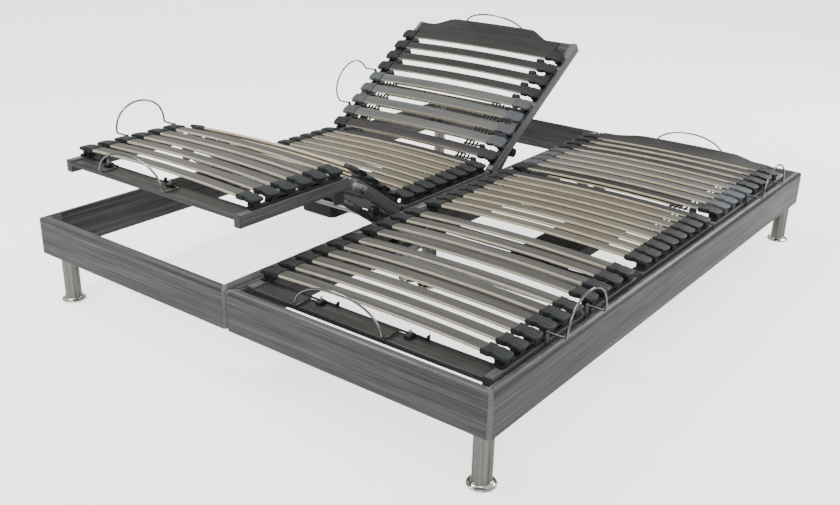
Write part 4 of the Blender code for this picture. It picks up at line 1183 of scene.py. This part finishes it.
loopSizes = {"radius": 0.00305, "clampHalf": 0.0055, "plane": 0.0031, "archSpare": 0.0042, "lean": 0.85,
             "wireLevel": 0.0265, "clampNear": 0.0004, "clampFar": 0.0058, "clampLow": -0.029,
             "clampOver": 0.0036, "screwLevel": -0.020, "screw": (0.0036, 0.0016)}
footSizes = {"level": -0.002, "over": 0.0030, "wireAt": 0.050, "bar": (0.016, 0.066), "barAt": 0.0655,
             "barHalf": 0.0045, "barLevels": (-0.0018, 0.0016), "stop": (0.003, 0.006, 0.0125),
             "blockAt": 0.036, "block": (0.010, 0.062, 0.036), "pinIn": 0.002}
pinProfile = [(0.0, 0.0), (0.0034, 0.0), (0.0034, 0.010), (0.0026, 0.0116), (0.0, 0.012)]


def archPoints(feet, level, top, steps=40):
    # Half a turn: reach times minus cos, height times sin to the power 0.85
    turn = np.linspace(0.0, math.pi, steps)
    height = top - loopSizes["archSpare"] - level
    return (sum(feet) / 2 - (feet[1] - feet[0]) / 2 * np.cos(turn),
            level + height * np.sin(turn).clip(0) ** loopSizes["lean"])


def loopPieces(section, node, path, clamps, clampMaterial, heads, headName):
    loop = Shape()
    wire(loop, cutCorners(path, 2), loopSizes["radius"])
    makePiece(node + "_wire", loop, section, "chrome", [node], 60.0)
    makePiece(node + "_clamps", clamps, section, clampMaterial)
    makePiece(f"{node}_{headName}", heads, section, "zinc")


def sideLoop(section, node):
    # Out from two clamps on the rail's face, then up and over
    low, high = section.extent(node)
    half, level, rail = loopSizes["clampHalf"], loopSizes["wireLevel"], railSizes["outer"]
    feet = (low[1] + half, high[1] - half)
    out, start = high[0] - loopSizes["plane"], rail + 0.003
    along, up = archPoints(feet, level, high[2])
    foot = np.array([start, start + 0.012, out - 0.010, out - 0.001])
    path = np.concatenate([pathAcross(foot, feet[0], level), pathAcross(out, along, up)[2:-2],
                           pathAcross(foot[::-1], feet[1], level)])
    clamps, heads = Shape(), Shape()
    near, far = rail + loopSizes["clampNear"], rail + loopSizes["clampFar"]
    for spot in feet:
        pad(clamps, 1, (near, far), spot, half, (loopSizes["clampLow"], level + loopSizes["clampOver"]),
            0.0014, 2)
        roundHead(heads, (far, spot, loopSizes["screwLevel"]), xAxis, *loopSizes["screw"])
    loopPieces(section, node, path, clamps, "endCap", heads, "screws")


def endLoop(section, node, plankEnd):
    # Up and over across the plank's end, with both feet turned in under clamp blocks on the plank
    low, high = section.extent(node)
    feet = (low[0] + loopSizes["clampHalf"], high[0] - loopSizes["clampHalf"])
    plane, top = high[1] - loopSizes["plane"], -plankSizes["drop"]
    across, up = archPoints(feet, top + footSizes["level"], high[2])
    over, at = top + footSizes["over"], plankEnd - footSizes["wireAt"]
    turnIn = np.array([(0.0, plane, over + 0.004), (0.0, plane - 0.010, over), (0.0, at + 0.004, over),
                       (0.006, at, over), (0.040, at, over)])
    path = np.concatenate([turnIn[::-1] + feet[0] * xAxis, pathAcross(across, plane, up)[3:-3],
                           turnIn + feet[1] * xAxis])
    clamps, heads = Shape(), Shape()
    rear = plankEnd - footSizes["barAt"]
    stopLong, stopHalf, stopTall = footSizes["stop"]
    blockHalf, blockRear, blockFront = footSizes["block"]
    for foot in feet:
        near = foot + footSizes["bar"][0]
        far = near + footSizes["bar"][1]
        pad(clamps, 1, (near, far), rear, footSizes["barHalf"],
            [top + part for part in footSizes["barLevels"]], 0.0008, 0)
        pad(clamps, 1, (far - stopLong, far), rear, stopHalf, (top, top + stopTall), 0.001, 2)
        x = foot + footSizes["blockAt"]
        block(clamps, (x - blockHalf, plankEnd - blockRear, top - 0.002),
              (x + blockHalf, plankEnd - blockFront, over + 0.0065), 0.003, 0)
        turned(heads, pinProfile, (x + footSizes["pinIn"], at + 0.001, over + 0.0055), zAxis, 20)
    loopPieces(section, node, path, clamps, "housing", heads, "pins")


# Both halves

banks = (
    {"section": "seat", "bank": "seat", "slot": "pale_slats", "slats": ["tan"] * 7 + ["dark"],
     "caps": ["blackRubber"] * 8, "sliders": [None] * 4 + ["comb"] * 4},
    {"section": "thigh", "bank": "thigh", "slot": "pale_slats", "slats": ["pale"] * 4,
     "caps": ["blackRubber"] * 4, "sliders": [None] * 4},
    {"section": "calf", "bank": "calf", "slot": "pale_slats", "slats": ["pale"] * 6,
     "caps": ["blackRubber"] * 6, "sliders": [None] * 6},
    {"section": "back", "bank": "lumbar", "slot": "grey_slats", "slats": ["dark"] + ["grey"] * 4,
     "caps": ["blackRubber"] + ["greyRubber"] * 4, "sliders": ["comb"] * 5},
    {"section": "back", "bank": "back", "slot": "dark_slats", "slats": ["dark"] * 3,
     "caps": ["blackRubber"] * 3, "sliders": ["knob"] * 3})


def buildHalf(name, side):
    sections = halfSections(name, side)
    seat = sections["seat"]
    boxPieces(name, seat.start)
    print(name, "box made")
    backAngle, thighAngle = (restAngle(f"{name}_{key}_hinge") for key in ("back", "thigh"))
    lifts = [(along, up - seat.start[2]) for along, up in
             (liftPieces(name, side, "back", 1, backAngle), liftPieces(name, side, "leg", -1, thighAngle))]
    linkPieces(name, side, thighAngle)
    drivePieces(name, seat, lifts)
    seatPieces(seat, name, lifts)
    framePieces(sections, name)
    print(name, "frames and gear made")
    for bank in banks:
        section, node = sections[bank["section"]], f"{name}_{bank['bank']}_slats"
        rows = bankRows(section, node, len(bank["slats"]))
        bankPieces(section, node, rows, bank["slats"], bank["caps"], bank["sliders"])
    headPanelPieces(sections["back"], f"{name}_head_panel")
    print(name, "slats made")
    for key in ("back", "calf"):
        sideLoop(sections[key], f"{name}_{key}_side_loop")
    for key, node in (("back", "head_loop"), ("calf", "foot_loop")):
        end = sections[key].extent(f"{name}_{key}_frame")[1][1]
        endLoop(sections[key], f"{name}_{node}", end)
    print(name, "loops made")


buildHalf("left", -1)
buildHalf("right", 1)


# Studio

studio = {"floorSize": 60.0, "floorTone": 0.95, "floorRough": 0.85, "floorGlow": 1.9, "backdrop": 2.6,
          "sky": 0.74, "flags": 3.0, "flagTone": 0.04, "aim": (0.0, 0.0, 0.2),
          "lamps": (("overheadBox", (-1.7, -1.3, 3.4), 1.3, 88.0),
                    ("headBox", (1.0, 3.9, 2.9), 1.8, 95.0),
                    ("frontBox", (2.6, -4.6, 3.2), 2.6, 62.0))}
view = {"place": (1.82174, -2.63603, 1.35779), "heading": -36.7543, "tilt": 22.3469, "roll": 1.46716,
        "lens": 41.977}


def addObject(name, data):
    added = bpy.data.objects.new(name, data)
    bpy.context.scene.collection.objects.link(added)
    return added


def cameraRay(tree):
    return addNode(tree, "ShaderNodeLightPath")["Is Camera Ray"]


def buildFloor():
    half = studio["floorSize"] / 2
    mesh = bpy.data.meshes.new("floor")
    mesh.from_pydata([(-half, -half, 0), (half, -half, 0), (half, half, 0), (-half, half, 0)], [],
                     [(0, 1, 2, 3)])
    material, tree, shader = newMaterial("paleFloor", Roughness=studio["floorRough"])
    feed(tree, shader, {"Base Color": grey(studio["floorTone"]), "Emission Color": grey(1.0),
                        "Emission Strength": calc(tree, "MULTIPLY", cameraRay(tree), studio["floorGlow"])})
    mesh.materials.append(material)
    addObject("floor", mesh)


def buildSky():
    # Bright above, with dark flags standing round the horizon for the metal to reflect
    sky = bpy.data.worlds.new("studioSky")
    sky.use_nodes = True
    tree = sky.node_tree
    direction = addNode(tree, "ShaderNodeSeparateXYZ", {0: addNode(tree, "ShaderNodeTexCoord")[0]})
    turn = calc(tree, "ARCTAN2", direction["Y"], direction["X"])
    flags = calc(tree, "SINE", calc(tree, "MULTIPLY", turn, studio["flags"]))
    height = ranged(tree, direction["Z"], 0.20, 0.50)
    bright = calc(tree, "MAXIMUM", height, ranged(tree, flags, 0.0, 0.45))
    tone = blended(tree, bright, grey(studio["flagTone"]), grey(1.0))
    tone = blended(tree, cameraRay(tree), tone, grey(studio["backdrop"]))
    feed(tree, tree.nodes["Background"], {"Color": tone, "Strength": studio["sky"]})
    bpy.context.scene.world = sky


def buildLamps():
    for label, place, size, power in studio["lamps"]:
        light = bpy.data.lights.new(label, "AREA")
        light.size = size
        light.energy = power
        lamp = addObject(label, light)
        lamp.location = place
        lamp.rotation_euler = (Vector(studio["aim"]) - Vector(place)).to_track_quat("-Z", "Y").to_euler()


def buildCamera():
    # The view's axes: forward from heading and tilt, then rolled about it
    heading, tilt, roll = (math.radians(view[key]) for key in ("heading", "tilt", "roll"))
    forward = Vector((math.sin(heading) * math.cos(tilt), math.cos(heading) * math.cos(tilt),
                      -math.sin(tilt)))
    right = Vector((math.cos(heading), -math.sin(heading), 0.0))
    up = right.cross(forward)
    sideways = right * math.cos(roll) + up * math.sin(roll)
    upright = up * math.cos(roll) - right * math.sin(roll)
    data = bpy.data.cameras.new("view")
    data.sensor_width = 36.0
    data.lens = view["lens"]
    camera = addObject("view", data)
    turn = Matrix((sideways, upright, -forward)).transposed()
    camera.matrix_world = Matrix.Translation(view["place"]) @ turn.to_4x4()
    bpy.context.scene.camera = camera


buildFloor()
buildSky()
buildLamps()
buildCamera()
